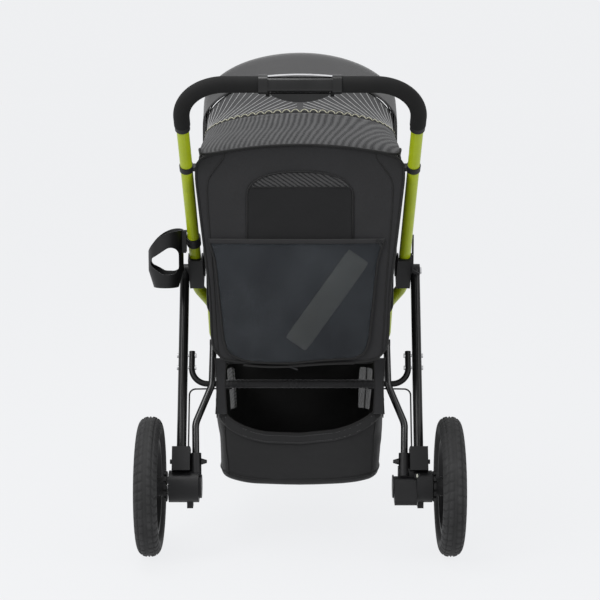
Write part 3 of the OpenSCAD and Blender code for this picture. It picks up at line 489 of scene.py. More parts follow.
def stitches(name, path, look, body="chassis", length=0.0035, gap=0.0025, r=0.0004, side=(0, 1, 0)):
    """A row of short raised stitches along a path."""
    verts = []
    faces = []
    travelled = 0.0
    up = Vector(side)
    for a, b in zip(path, path[1:]):
        step = (b - a).length
        if step < 1e-6:
            continue
        along = (b - a) / step
        across = along.cross(up).normalized()
        lift = across.cross(along)
        at = (-travelled) % (length + gap)
        while at + length < step:
            p, q = a + along * at, a + along * (at + length)
            base = len(verts)
            for end, s in ((p, 0.4), (p + (q - p) * 0.5, 1.0), (q, 0.4)):
                verts += [end + across * r * s, end + lift * r * s, end - across * r * s, end - lift * r * s]
            for m in range(2):
                for j in range(4):
                    c, d = base + m * 4 + j, base + m * 4 + (j + 1) % 4
                    faces.append((c, d, d + 4, c + 4))
            faces.append((base + 3, base + 2, base + 1, base))
            faces.append((base + 8, base + 9, base + 10, base + 11))
            at += length + gap
        travelled = (travelled + step) % (length + gap)
    return piece(name, verts, faces, look, body)


def soft_noise(p, scale, amount):
    """Gentle creases, the same on every run."""
    return amount * noise.noise(Vector(p) * scale)

# ---------------------------------------------------------------- cabin

panel_low, panel_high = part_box("cabin_rear_panel")
BACK = panel_high.y
PANEL_TOP = panel_high.z
PANEL_BOTTOM = panel_low.z
TOP_ARC = 0.027


def cabin_half(z):
    mm = z * 1000
    if mm < 480:
        return 0.170
    if mm < 540:
        return 0.170 + (mm - 480) * 0.0001
    return 0.176 + (mm - 540) * 0.0001


def between(points, z):
    """A width read off a short list of (height, width) pairs."""
    for (z0, h0), (z1, h1) in zip(points, points[1:]):
        if z <= z1:
            return h0 + (h1 - h0) * max(0.0, (z - z0) / (z1 - z0))
    return points[-1][1]


def panel_half(z):
    """Half width of the rear panel at a height."""
    return between([(0.450, 0.178), (0.470, 0.184), (0.500, 0.187), (0.560, 0.1885), (0.600, 0.191),
                    (0.700, 0.203), (0.820, 0.2165), (0.850, 0.2165), (0.870, 0.213)], z)


def panel_y(x, z, a, b):
    """How far back the skin stands: a and b run from -1 to 1 across and up the panel."""
    crown = 0.004 * (1 - min(1, abs(a)) ** 4) * (1 - min(1, abs(b)) ** 4)
    return BACK - 0.0015 + crown + soft_noise((x, 0, z), 9, 0.0022) + soft_noise((x, 1, z * 2), 26, 0.0007)


def panel_point(u, v):
    """The rear panel's skin: u across, v up, with round corners, a crown and soft creases."""
    a, b = 2 * u - 1, 2 * v - 1
    corner = 0.14 if v < 0.5 else 0.09
    reach_a = max(0.0, (abs(a) - (1 - corner)) / corner)
    reach_b = max(0.0, (abs(b) - (1 - corner)) / corner)
    pull_a = (1 - math.sqrt(1 - 0.5 * reach_b ** 2)) * reach_a * corner
    pull_b = (1 - math.sqrt(1 - 0.5 * reach_a ** 2)) * reach_b * corner
    a -= math.copysign(pull_a, a)
    b -= math.copysign(pull_b, b)
    top = PANEL_TOP - TOP_ARC * a * a
    bottom = PANEL_BOTTOM + 0.004 - 0.010 * (1 - a * a)
    z = bottom + (top - bottom) * (b + 1) / 2
    x = a * panel_half(z)
    return Vector((x, panel_y(x, z, a, b), z))


def panel_at(x, z, lift=0.0):
    """A point on the panel's skin at a place, lifted off it."""
    a = x / panel_half(z)
    b = 2 * (z - PANEL_BOTTOM) / (PANEL_TOP - TOP_ARC * a * a - PANEL_BOTTOM) - 1
    return Vector((x, panel_y(x, z, a, b) + lift, z))


WINDOW_HALF = 0.110
WINDOW_LOW = 0.690
WINDOW_SPRING = 0.788
WINDOW_TOP = 0.838
FLAP_TOP = 0.806


def window_edge(steps=30, inset=0.0):
    """The arched window's outline, from its lower left over the top to its lower right."""
    half = WINDOW_HALF - inset
    rise = WINDOW_TOP - WINDOW_SPRING - inset
    points = [(half, WINDOW_LOW), (half, (WINDOW_LOW + WINDOW_SPRING) / 2)]
    for i in range(steps + 1):
        t = math.pi * i / steps
        c, s = math.cos(t), math.sin(t)
        points.append((half * math.copysign(abs(c) ** 0.82, c), WINDOW_SPRING + rise * s ** 0.9))
    points += [(-half, (WINDOW_LOW + WINDOW_SPRING) / 2), (-half, WINDOW_LOW)]
    return points


def window_half(z, inset=0.0):
    """Half width of the window at a height."""
    half = WINDOW_HALF - inset
    if z <= WINDOW_SPRING:
        return half
    s = min(1.0, (z - WINDOW_SPRING) / (WINDOW_TOP - WINDOW_SPRING - inset)) ** (1 / 0.9)
    return half * max(0.0, math.cos(math.asin(s))) ** 0.82


def make_rear_panel():
    skin = grid_sheet("rear_panel", panel_point, 30, 34, 0.003, fabric)
    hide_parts("cabin_rear_panel")

    def inner_point(u, v):
        p = panel_point(u, v)
        return Vector((p.x * 0.985, p.y - 0.0065, p.z))
    grid_sheet("rear_panel_lining", inner_point, 16, 18, 0.002, lining)
    border = []
    steps = 40
    for corner, way in (((0, 1), (1, 0)), ((1, 1), (0, -1)), ((1, 0), (-1, 0)), ((0, 0), (0, 1))):
        border += [panel_point(corner[0] + way[0] * i / steps, corner[1] + way[1] * i / steps)
                   for i in range(steps)]
    border = [p + Vector((0, 0.0016, 0)) for p in border]
    piping("rear_panel_edge_piping", border, r=0.0024, closed=True, side=(0, 1, 0))

    for side in SIDES.values():
        seam = [(0.157, PANEL_TOP - 0.017), (0.161, PANEL_TOP - 0.030), (0.188, PANEL_TOP - 0.066),
                (0.193, PANEL_TOP - 0.090), (0.192, 0.76), (0.188, 0.70), (0.181, 0.60), (0.176, 0.50),
                (0.172, 0.455)]
        path = [panel_at(side * p.x, p.z, 0.0018) for p in smooth_path([(x, 0, z) for x, z in seam], 6)]
        name = "panel_seam_" + ("left" if side > 0 else "right")
        piping(name, path, r=0.0013, side=(0, 1, 0))
        row = [p + Vector((side * -0.005, -0.0008, 0)) for p in path]
        stitches(name + "_stitching", row, fabric_dark)


def make_window():
    def mesh_point(u, v):
        z = FLAP_TOP - 0.004 + (WINDOW_TOP - FLAP_TOP + 0.002) * v
        return panel_at((2 * u - 1) * max(window_half(z), 0.012), z, 0.0022)
    grid_sheet("rear_window_mesh", mesh_point, 24, 8, 0.0008, window_mesh)

    def flap_point(u, v):
        z = WINDOW_LOW + (FLAP_TOP - WINDOW_LOW) * v
        p = panel_at((2 * u - 1) * (window_half(z) - 0.001), z, 0.0030)
        p.y += 0.0012 * math.sin(math.pi * u) + soft_noise((p.x, 3, p.z), 30, 0.0008)
        return p
    grid_sheet("window_flap", flap_point, 26, 14, 0.0014, fabric_dark)
    edge = [panel_at(x, z, 0.0034) for x, z in window_edge()]
    piping("window_piping", edge, r=0.0015, side=(0, 1, 0))
    row = [panel_at(x, z, 0.0020) for x, z in window_edge(inset=-0.004)]
    stitches("window_stitching_out", row, fabric_dark)
    fold = [panel_at(x * 0.001, FLAP_TOP, 0.0042) for x in range(-100, 101, 5)]
    piping("window_flap_fold", fold, r=0.0012, side=(0, 1, 0))


pale_thread = weave_look("pale_thread", (0.16, 0.16, 0.16), 900, sheen=0.0)

POCKET_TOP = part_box("rear_pocket")[1].z - 0.005
POCKET_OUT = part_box("rear_pocket")[1].y
POCKET_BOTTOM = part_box("rear_pocket")[0].z
POCKET_SHIFT = 0.0075


def pocket_half(z):
    """Half width of the pocket at a height, with round lower corners."""
    return between([(0.441, 0.112), (0.447, 0.134), (0.460, 0.146), (0.483, 0.1535), (0.568, 0.162),
                    (0.649, 0.170), (0.672, 0.176), (0.701, 0.1855)], z)


def pocket_depth(x, z):
    """How far out the pocket's skin stands at a place; the roll inside pushes it out."""
    v = min(1.0, max(0.0, (z - POCKET_BOTTOM + 0.003) / (POCKET_TOP - POCKET_BOTTOM + 0.003)))
    a = min(1.0, abs(x - POCKET_SHIFT) / pocket_half(z))
    full = (1 - a ** 3.2) * min(1, (v + 0.02) * 5) ** 0.6 * (1 - 0.45 * v ** 6)
    y = BACK + 0.004 + (POCKET_OUT - BACK - 0.002) * full
    return y + soft_noise((x, 0, z * 0.6), 13, 0.0035) * full


def pocket_point(u, v):
    z = POCKET_BOTTOM - 0.003 + (POCKET_TOP - POCKET_BOTTOM + 0.003) * v
    z += -0.004 * (1 - (2 * u - 1) ** 2) * (1 - v) ** 2 + 0.0035 * math.sin(5 * u + 1) * (1 - v) ** 3
    x = POCKET_SHIFT + (2 * u - 1) * pocket_half(z)
    return Vector((x, pocket_depth(x, z), z))


def make_pocket():
    skin = grid_sheet("pocket_front", pocket_point, 30, 30, 0.0009, pocket_mesh)
    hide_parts("rear_pocket")
    left = [pocket_point(0, i / 24) for i in range(24, -1, -1)]
    low = row_of(pocket_point, 30, 0)
    right = [pocket_point(1, i / 24) for i in range(25)]
    edge = [p + Vector((0, 0.0012, 0)) for p in left + low[1:-1] + right]
    piping("pocket_piping", edge, r=0.0021, side=(0, 1, 0))

    def hem(u, v):
        p = pocket_point(u, 1 - 0.024 * (1 - v))
        return p + Vector((0, 0.0011 + 0.0006 * math.sin(math.pi * v), 0.002 * v))
    grid_sheet("pocket_hem", hem, 40, 4, 0.0016, fabric)
    top = [pocket_point(i / 40, 0.98) + Vector((0, 0.0022, 0)) for i in range(41)]
    stitches("pocket_hem_stitching", top, fabric_dark)
    zip_path = [pocket_point(i / 40, 1.0) + Vector((0, 0.0004, 0.0030)) for i in range(41)]
    zip_teeth("pocket_zip_teeth", zip_path, 0.0006)
    zip_pull("pocket_zip_pull", pocket_point(0.04, 1.0) + Vector((0, 0.004, 0.003)), 0.5)
    lower = [p + Vector((0, 0.0004, -0.0105 + 0.003 * math.sin(3 * i / 30))) for i, p in enumerate(low)]
    piping("bottom_zip", lower, r=0.0022, side=(0, 1, 0))
    zip_pull("bottom_zip_pull", lower[17] + Vector((0, 0.003, 0.001)), 1.2)


def zip_teeth(name, path, lift):
    """Small teeth in pairs along a zip."""
    verts, faces = [], []
    pitch, size = 0.0022, 0.0006
    travelled = 0.0
    for a, b in zip(path, path[1:]):
        step = (b - a).length
        along = (b - a).normalized()
        at = (-travelled) % pitch
        while at < step:
            c = a + along * at + Vector((0, lift, 0))
            base = len(verts)
            for dx, dz in ((-1, -2), (1, -2), (1, 2), (-1, 2)):
                verts.append(c + Vector((dx * size, 0.0, dz * size)))
                verts.append(c + Vector((dx * size * 0.7, size, dz * size * 0.8)))
            for j in range(4):
                k = (j + 1) % 4
                faces.append((base + 2 * j, base + 2 * k, base + 2 * k + 1, base + 2 * j + 1))
            faces.append((base + 1, base + 3, base + 5, base + 7))
            faces.append((base + 6, base + 4, base + 2, base))
            at += pitch
        travelled = (travelled + step) % pitch
    return piece(name, verts, faces, zip_metal, "chassis", smooth=False)


def zip_pull(name, at, turn):
    """A slider with a hanging tab: a slider block and a tapered plate."""
    bm = bmesh.new()
    slider = [(-0.0045, 0), (0.0045, 0), (0.0036, -0.010), (-0.0036, -0.010)]
    plate = [(-0.0022, -0.008), (0.0022, -0.008), (0.0034, -0.028), (0.0020, -0.032),
             (-0.0020, -0.032), (-0.0034, -0.028)]
    for outline, y0, y1 in ((slider, 0.0, 0.0038), (plate, 0.0042, 0.0056)):
        back = [bm.verts.new((x, y0, z)) for x, z in outline]
        front = [bm.verts.new((x * 0.9, y1, z)) for x, z in outline]
        n = len(outline)
        bm.faces.new(back)
        bm.faces.new(list(reversed(front)))
        for j in range(n):
            bm.faces.new((back[j], front[j], front[(j + 1) % n], back[(j + 1) % n]))
    bmesh.ops.recalc_face_normals(bm, faces=bm.faces)
    mesh = bpy.data.meshes.new(name)
    bm.to_mesh(mesh)
    bm.free()
    mesh.transform(Matrix.Translation(at) @ Matrix.Rotation(turn, 4, "Y") @ Matrix.Scale(0.6, 4))
    mesh.materials.append(plastic)
    obj = bpy.data.objects.new(name, mesh)
    add_to_scene(obj)
    bevelled(obj, 0.0004)
    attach(obj, "chassis")
    return obj


def make_rain_cover():
    """The folded rain cover: a soft flat roll lying diagonally in the pocket."""
    low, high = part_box("rain_cover")
    centre = (low + high) / 2
    angle = math.radians(35.5)
    half_w, half_l = 0.026, 0.114
    cols, rows = 24, 26

    def point(u, v):
        t = 2 * math.pi * u
        c, s = math.cos(t), math.sin(t)
        end = min(1, min(v, 1 - v) * 14) ** 0.5
        x = half_w * math.copysign(abs(c) ** 0.5, c) * (0.93 + 0.07 * end)
        y = math.copysign(abs(s) ** 0.6, s) * (0.55 + 0.45 * end)
        z = half_l * (2 * v - 1)
        x += soft_noise((t, v * 4, 0), 3, 0.0012)
        dx = centre.x + x * math.cos(angle) - z * math.sin(angle)
        dz = centre.z + x * math.sin(angle) + z * math.cos(angle)
        inner = BACK + 0.0065
        outer = pocket_depth(dx, dz) - 0.0022 - abs(soft_noise((x * 20, v * 8, s), 2, 0.0016))
        middle = (min(inner, outer - 0.0006) + outer) / 2
        return Vector((dx, middle + y * max(0.0003, (outer - inner) / 2), dz))
    obj = grid_sheet("rain_cover_roll", point, cols, rows, 0.0008, cover_sheet, "chassis",
                     closed=True)
    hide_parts("rain_cover")


FLOOR_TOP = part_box("floor_board")[1].z
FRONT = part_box("cabin_front_panel")[0].y
FRONT_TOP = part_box("cabin_front_panel")[1].z
Q = Vector(joints["canopy_fold"]["pos_m"])
SEAM = 25.5


def side_top(y):
    if y > Q.y:
        corner = max(0.0, (y - BACK + 0.060) / 0.052) ** 2 * 0.022
        return Q.z + (y - Q.y) * math.tan(math.radians(SEAM)) - 0.003 - corner
    return Q.z - 0.003 - (Q.y - y) * (Q.z - FRONT_TOP) / (Q.y - FRONT)


def make_cabin_sides():
    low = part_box("floor_board")[0].z
    for word, side in SIDES.items():
        def point(u, v, inset=0.0):
            y = FRONT + 0.004 + (BACK - 0.008 - FRONT) * u
            top = side_top(y)
            z = low + (top - low) * v
            puff = 0.0035 * math.sin(math.pi * min(1, v * 1.02)) * math.sin(math.pi * u)
            x = cabin_half(z) + puff - 0.0015 - inset
            x += soft_noise((y, z, 2 * side), 7, 0.0025) * math.sin(math.pi * u)
            return Vector((side * x, y, z))
        skin = grid_sheet(f"cabin_side_{word}_fabric", point, 26, 18, 0.003, fabric)
        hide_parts(f"cabin_side_{word}")
        top = row_of(point, 40, 1.0)
        piping(f"cabin_side_{word}_rim", top, r=0.0040)
        for k, v in enumerate((0.30, 0.955)):
            row = [point(i / 60, v) + Vector((side * 0.0022, 0, 0)) for i in range(61)]
            if k == 0:
                piping(f"cabin_side_{word}_seam", row, r=0.0014)
            row = [p + Vector((0, 0, -0.005)) for p in row]
            stitches(f"cabin_side_{word}_stitching_{k}", row, pale_thread, side=(1, 0, 0), r=0.0003)

        def vent(u, v):
            y = -0.02 + 0.20 * u
            z = 0.60 + 0.095 * v + 0.07 * u * v
            base = point((y - FRONT - 0.004) / (BACK - 0.008 - FRONT), (z - low) / (side_top(y) - low))
            return base + Vector((side * 0.0024, 0, 0))
        grid_sheet(f"cabin_vent_{word}", vent, 14, 8, 0.0008, window_mesh)
        rim = ([vent(i / 12, 0) for i in range(12)] + [vent(1, i / 8) for i in range(8)]
               + [vent(1 - i / 12, 1) for i in range(12)] + [vent(0, 1 - i / 8) for i in range(8)])
        piping(f"cabin_vent_{word}_piping", rim, r=0.0018, closed=True)


def make_cabin_front():
    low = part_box("cabin_front_panel")[0].z

    def point(u, v):
        z = low + (FRONT_TOP - low) * v - 0.006 * math.sin(math.pi * u) * v
        x = (2 * u - 1) * cabin_half(z)
        belly = math.sin(math.pi * u) * math.sin(math.pi * min(v, 0.95))
        return Vector((x, FRONT + 0.003 - 0.008 * belly + soft_noise((x, 0, z), 9, 0.002), z))
    skin = grid_sheet("cabin_front_fabric", point, 26, 14, 0.0045, fabric)
    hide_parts("cabin_front_panel")
    top = row_of(point, 30, 1.0)
    piping("cabin_front_rim", top, r=0.0055)
    for k, v in enumerate((0.12, 0.86)):
        row = [point(i / 60, v) + Vector((0, -0.0026, 0)) for i in range(61)]
        stitches(f"cabin_front_stitching_{k}", row, pale_thread, side=(0, 1, 0), r=0.0003)
    for side in SIDES.values():
        corner = [Vector((side * (cabin_half(low + (FRONT_TOP - low) * i / 12) - 0.0005), FRONT + 0.003,
                          low + (FRONT_TOP - low) * i / 12)) for i in range(13)]
        piping(f"cabin_corner_{'left' if side > 0 else 'right'}", corner, r=0.0032, side=(0, 1, 0))


def make_cushion():
    """The floor pad: a remeshed block inflated by a short cloth run, then piped and tufted."""
    low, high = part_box("seat_cushion")
    mid = (low + high) / 2
    half = (high - low) / 2
    inset = Vector((0.010, 0.010, 0.009))
    bm = bmesh.new()
    bmesh.ops.create_cube(bm, size=2.0)
    bmesh.ops.scale(bm, vec=half - inset, verts=bm.verts)
    bmesh.ops.bevel(bm, geom=bm.edges[:], offset=0.010, segments=3, affect="EDGES")
    bmesh.ops.translate(bm, vec=mid, verts=bm.verts)
    mesh = bpy.data.meshes.new("seat_pad")
    bm.to_mesh(mesh)
    bm.free()
    obj = bpy.data.objects.new("seat_pad", mesh)
    add_to_scene(obj)
    remesh = obj.modifiers.new("remesh", "REMESH")
    remesh.mode = "VOXEL"
    remesh.voxel_size = 0.0065
    apply_modifiers(obj)
    start = [v.co.copy() for v in obj.data.vertices]
    cloth = obj.modifiers.new("cloth", "CLOTH")
    cloth.settings.use_pressure = True
    cloth.settings.uniform_pressure_force = 4.0
    cloth.settings.effector_weights.gravity = 0.0
    cloth.settings.quality = 5
    scene = bpy.context.scene
    for f in range(1, 15):
        scene.frame_set(f)
    apply_modifiers(obj)
    scene.frame_set(1)
    cap = 0.009
    for v, s in zip(obj.data.vertices, start):
        move = v.co - s
        if move.length > cap:
            v.co = s + move.normalized() * cap
        crown = math.cos((v.co.x - mid.x) / half.x * 1.45) * math.cos((v.co.y - mid.y) / half.y * 1.45)
        if v.co.z > mid.z:
            v.co.z += 0.006 * max(0.0, crown) - 0.004
            for row in range(-2, 3):
                d = abs(v.co.y - (mid.y + row * 0.105))
                v.co.z -= 0.0055 * math.exp(-(d / 0.007) ** 2)
    bounds_low = low + Vector((0.001, 0.001, 0.0005))
    bounds_high = high + Vector((0, 0, 0.004))
    for v in obj.data.vertices:
        for axis in range(3):
            v.co[axis] = min(max(v.co[axis], bounds_low[axis]), bounds_high[axis])
    sub = obj.modifiers.new("smooth", "SUBSURF")
    sub.levels = sub.render_levels = 1
    apply_modifiers(obj)
    for p in obj.data.polygons:
        p.use_smooth = True
    obj.data.materials.clear()
    obj.data.materials.append(pad_fabric)
    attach(obj, "chassis")
    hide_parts("seat_cushion")
    x, y = half.x - 0.012, half.y - 0.012
    corner = 0.016
    path = []
    for sx, sy, a0 in ((1, 1, 0), (-1, 1, 90), (-1, -1, 180), (1, -1, 270)):
        for i in range(7):
            a = math.radians(a0 + 90 * i / 6)
            path.append(mid + Vector((sx * (x - corner) + corner * math.cos(a),
                                      sy * (y - corner) + corner * math.sin(a), 0)))
    grow = [mid + Vector(((p.x - mid.x) * 1.035, (p.y - mid.y) * 1.022, 0)) for p in path]
    piping("seat_pad_piping", grow, r=0.0028, closed=True)


make_rear_panel()
make_window()
make_pocket()
make_rain_cover()
make_cabin_sides()
make_cabin_front()
make_cushion()

# ---------------------------------------------------------------- canopy

CANOPY_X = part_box("canopy_rear")[1].x
VISOR_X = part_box("visor")[1].x
REAR_BOW = 58.5
MIDDLE_END = 97.0
VISOR_START = 95.5
VISOR_END = 144.0
CANOPY_TOP_SHARE = 0.66
STRIPES = 18
SCALLOPS = 42
stripe_fabric = weave_look("canopy_stripe_ground", (0.027, 0.027, 0.028), 520, sheen=0.15)
stripe_pale = weave_look("canopy_stripe_pale", (0.27, 0.27, 0.27), 640, sheen=0.1)
loop_braid = weave_look("scallop_braid", (0.36, 0.35, 0.26), 700, rough=0.7, sheen=0.2)


def canopy_radius(angle):
    if angle < 113:
        return 0.1818 / math.cos(math.radians(angle - 59.5))
    return 0.3003 / math.cos(math.radians(angle - 108.8))


def canopy_drop(angle):
    if angle < REAR_BOW:
        return 0.024 + (angle - SEAM) * 0.036 / 33
    return min(0.120, 0.060 + (angle - REAR_BOW) * 0.00115)


def canopy_point(angle, u, half, out=0.0):
    """The canopy's skin: angle about its pivot from straight back, u from side to side."""
    v = abs(2 * u - 1)
    r = canopy_radius(angle) + out
    drop = canopy_drop(angle)
    turn = math.radians(90 * min(1, v / CANOPY_TOP_SHARE))
    down = max(0.0, (v - CANOPY_TOP_SHARE) / (1 - CANOPY_TOP_SHARE))
    x = half * math.sin(turn)
    rho = (r - drop + drop * math.cos(turn)) * (1 - down) + 0.014 * down
    a = math.radians(angle)
    return Vector((x if u < 0.5 else -x, Q.y + rho * math.cos(a), Q.z + rho * math.sin(a)))


def canopy_skin(start, end, half, out, sag, ridge=None):
    """A section of canopy fabric between two bows, pulled in a little between them."""
    def point(u, v):
        angle = start + (end - start) * v
        if ridge:
            low, share = ridge
            angle = (start + (low - start) * v / share if v < share
                     else low + (end - low) * (v - share) / (1 - share))
        p = canopy_point(angle, u, half, out)
        middle = Vector((p.x * 0.6, Q.y, Q.z))
        pull = -sag * math.sin(math.pi * v) * (1 - abs(2 * u - 1) ** 4)
        pull += soft_noise((u * 3, v * 2, start), 2.2, 0.0014) * math.sin(math.pi * v)
        return p + (p - middle).normalized() * pull
    return point


def arc_path(angle, half, out, u0=0.0, u1=1.0, steps=70):
    return [canopy_point(angle, u0 + (u1 - u0) * i / steps, half, out) for i in range(steps + 1)]


def outward(point):
    """Direction straight off the canopy's skin, near enough."""
    return Vector((point.x * 0.5, point.y - Q.y, point.z - Q.z)).normalized()


def ribbons(name, paths, width, thick, look):
    """Many narrow flat braids, as one piece: each path is points with their own outward lift."""
    verts, faces = [], []
    for path in paths:
        n = len(path)
        base = len(verts)
        for i, p in enumerate(path):
            a, b = path[max(0, i - 1)], path[min(n - 1, i + 1)]
            lift = outward(p)
            across = (b - a).normalized().cross(lift).normalized() * width / 2
            verts += [p - across, p - across * 0.6 + lift * thick,
                      p + across * 0.6 + lift * thick, p + across]
        for i in range(n - 1):
            for j in range(4):
                c, d = base + 4 * i + j, base + 4 * i + (j + 1) % 4
                faces.append((c, d, d + 4, c + 4))
        faces.append((base, base + 3, base + 2, base + 1))
        faces.append((base + 4 * n - 4, base + 4 * n - 3, base + 4 * n - 2, base + 4 * n - 1))
    return piece(name, verts, faces, look, "chassis")


def make_canopy():
    half = CANOPY_X - 0.001
    free = canopy_skin(SEAM, REAR_BOW, half, 0.0, 0.004)

    def rear(u, v):
        p = free(u, v)
        t = min(1.0, abs(2 * u - 1) / CANOPY_TOP_SHARE)
        hold = max(0.0, 1 - v / 0.40) ** 2 * (1 - t ** 8)
        edge = PANEL_TOP - TOP_ARC * min(1.0, abs(p.x) / panel_half(PANEL_TOP)) ** 2
        p.x *= 1 + 0.024 * max(0.0, 1 - v) ** 1.5 * min(1.0, max(0.0, (p.z - Q.z) / 0.05))
        return p.lerp(Vector((p.x, BACK - 0.001, edge)), hold)
    skin = grid_sheet("canopy_rear_mesh", rear, 64, 12, 0.0014, canopy_mesh)
    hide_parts("canopy_rear")
    middle = canopy_skin(REAR_BOW + 0.3, MIDDLE_END, half, 0.0, 0.003)
    skin = grid_sheet("canopy_middle_fabric", middle, 64, 14, 0.0018, stripe_fabric)
    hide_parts("canopy_middle")

    lines = []
    for side in (-1, 1):
        for k in range(STRIPES):
            foot = 0.008 + 0.345 * k / STRIPES
            lean = 0.19 - 0.137 * k / STRIPES
            path = []
            for i in range(19):
                t = i / 18
                off = foot - lean * t
                if off < 0:
                    break
                p = middle(0.5 + side * off, 0.13 + 0.84 * t)
                path.append(p + outward(p) * 0.0009)
            if len(path) > 1:
                lines.append(path)
    ribbons("canopy_stripes", lines, 0.0024, 0.0006, stripe_pale)

    def garland(steps, left, span, low, rise, power, lift):
        """One arch in each of the scallops' places, off the striped fabric."""
        arches = []
        for k in range(SCALLOPS):
            arch = [middle(0.08 + 0.84 * (k + left + span * (i / steps)) / SCALLOPS,
                           low + rise * math.sin(math.pi * (i / steps)) ** power) for i in range(steps + 1)]
            arches.append([p + outward(p) * lift for p in arch])
        return arches

    loops = garland(10, 0.06, 0.88, 0.006, 0.105, 0.7, 0.0014)
    ribbons("canopy_scallops", loops, 0.0019, 0.0011, loop_braid)
    gaps = garland(6, 0.25, 0.5, 0.022, 0.030, 1, 0.0010)
    ribbons("canopy_scallop_shadows", gaps, 0.0056, 0.0005, fabric_dark)

    seam = [p + outward(p) * 0.0012 for p in (rear(i / 90, 0.01) for i in range(91))]
    piping("canopy_seam_piping", seam, r=0.0030, side=(1, 0.3, 0.2))
    row = [p + outward(p) * 0.0008 for p in (rear(0.05 + 0.9 * i / 120, 0.94) for i in range(121))]
    stitches("canopy_high_stitching", row, pale_thread, r=0.0003, side=(0, 0.6, 0.8))

    vhalf = VISOR_X + 0.0006
    piping("canopy_front_piping", arc_path(MIDDLE_END, half, 0.0010), r=0.0018, side=(1, 0.3, 0.2))
    shell = canopy_skin(VISOR_START, VISOR_END, vhalf, 0.0042, 0.0, (113, 0.36))
    skin = grid_sheet("visor_fabric_shell", shell, 96, 25, 0.0018, fabric_visor, "canopy_visor",
                      subdivide=0)
    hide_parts("visor")
    piping("visor_front_piping", arc_path(VISOR_END, vhalf, 0.003), "canopy_visor",
           r=0.0034, side=(1, 0.3, 0.2))
    row = [p + outward(p) * 0.0004 for p in arc_path(VISOR_END - 2.0, vhalf, 0.0044, 0.05, 0.95, 120)]
    stitches("visor_front_stitching", row, pale_thread, "canopy_visor", r=0.0003, side=(0, 0.6, 0.8))


# ---------------------------------------------------------------- basket

basket_low, basket_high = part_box("basket")
BASKET_X = basket_high.x + 0.008
BASKET_BACK = basket_high.y
BASKET_FRONT = basket_low.y
BASKET_BOTTOM = basket_low.z
RIM = 0.325


def basket_plan(t, grow=0.0):
    """A round-cornered rectangle, once around."""
    c, s = math.cos(t), math.sin(t)
    x = (BASKET_X + grow) * math.copysign(abs(c) ** 0.32, c)
    half_y = (BASKET_BACK - BASKET_FRONT) / 2 + grow
    return x, (BASKET_FRONT + BASKET_BACK) / 2 + half_y * math.copysign(abs(s) ** 0.24, s)


def basket_rim(x, y):
    """The rim's height: it hangs low across the back, like a slack hem between its straps."""
    back = max(0.0, min(1.0, (y - BASKET_BACK + 0.10) / 0.10)) ** 2
    slack = 1 - min(1.0, abs(x) / BASKET_X) ** 2.4
    front = max(0.0, min(1.0, (-0.110 - y) / 0.070))
    lean = -0.006 * (x / BASKET_X) * back
    return RIM - back * (0.010 + 0.049 * slack) + 0.028 * front * front * (3 - 2 * front) + lean


def basket_floor(x):
    """The floor's height: it sags along the middle."""
    return BASKET_BOTTOM + 0.002 + 0.013 * min(1.0, abs(x) / BASKET_X) ** 2


def basket_point(u, v):
    """Down the wall, round a tight bottom corner and in across the floor."""
    x, y = basket_plan(2 * math.pi * u)
    mid_y = (BASKET_FRONT + BASKET_BACK) / 2
    top = basket_rim(x, y)
    down = min(1.0, v / BASKET_WALL)
    turn = math.radians(90 * min(1.0, max(0.0, (v - BASKET_WALL) / (BASKET_BEND - BASKET_WALL))))
    across = max(0.0, (v - BASKET_BEND) / (1 - BASKET_BEND))
    shrink = 1 - 0.055 * down - BASKET_CORNER / BASKET_X * (1 - math.cos(turn))
    px, py = x * shrink * (1 - across), (y - mid_y) * shrink * (1 - across)
    low = basket_floor(px)
    z = top + (low + BASKET_CORNER - top) * down - BASKET_CORNER * math.sin(turn)
    soft = min(1, v * 6) * (1 - 0.8 * across)
    crease = (soft_noise((x * 1.3, y, z * 1.6), 11, 0.0055) + soft_noise((x, y, z * 2), 34, 0.0014)) * soft
    out = Vector((px, py, 0))
    out = out.normalized() if out.length > 1e-6 else out
    wall = Vector((px, mid_y + py, z)) + out * (crease - 0.003) * (1 - across)
    return wall + Vector((0, 0, soft_noise((px, py, 5), 8, 0.003) * across))


BASKET_WALL = 0.58
BASKET_BEND = 0.70
BASKET_CORNER = 0.011
BASKET_WINDOWS = ((0.575, 0.665), (0.865, 0.925))


def in_basket_window(u, v):
    return 0.10 < v < 0.42 and any(a < u < b for a, b in BASKET_WINDOWS)


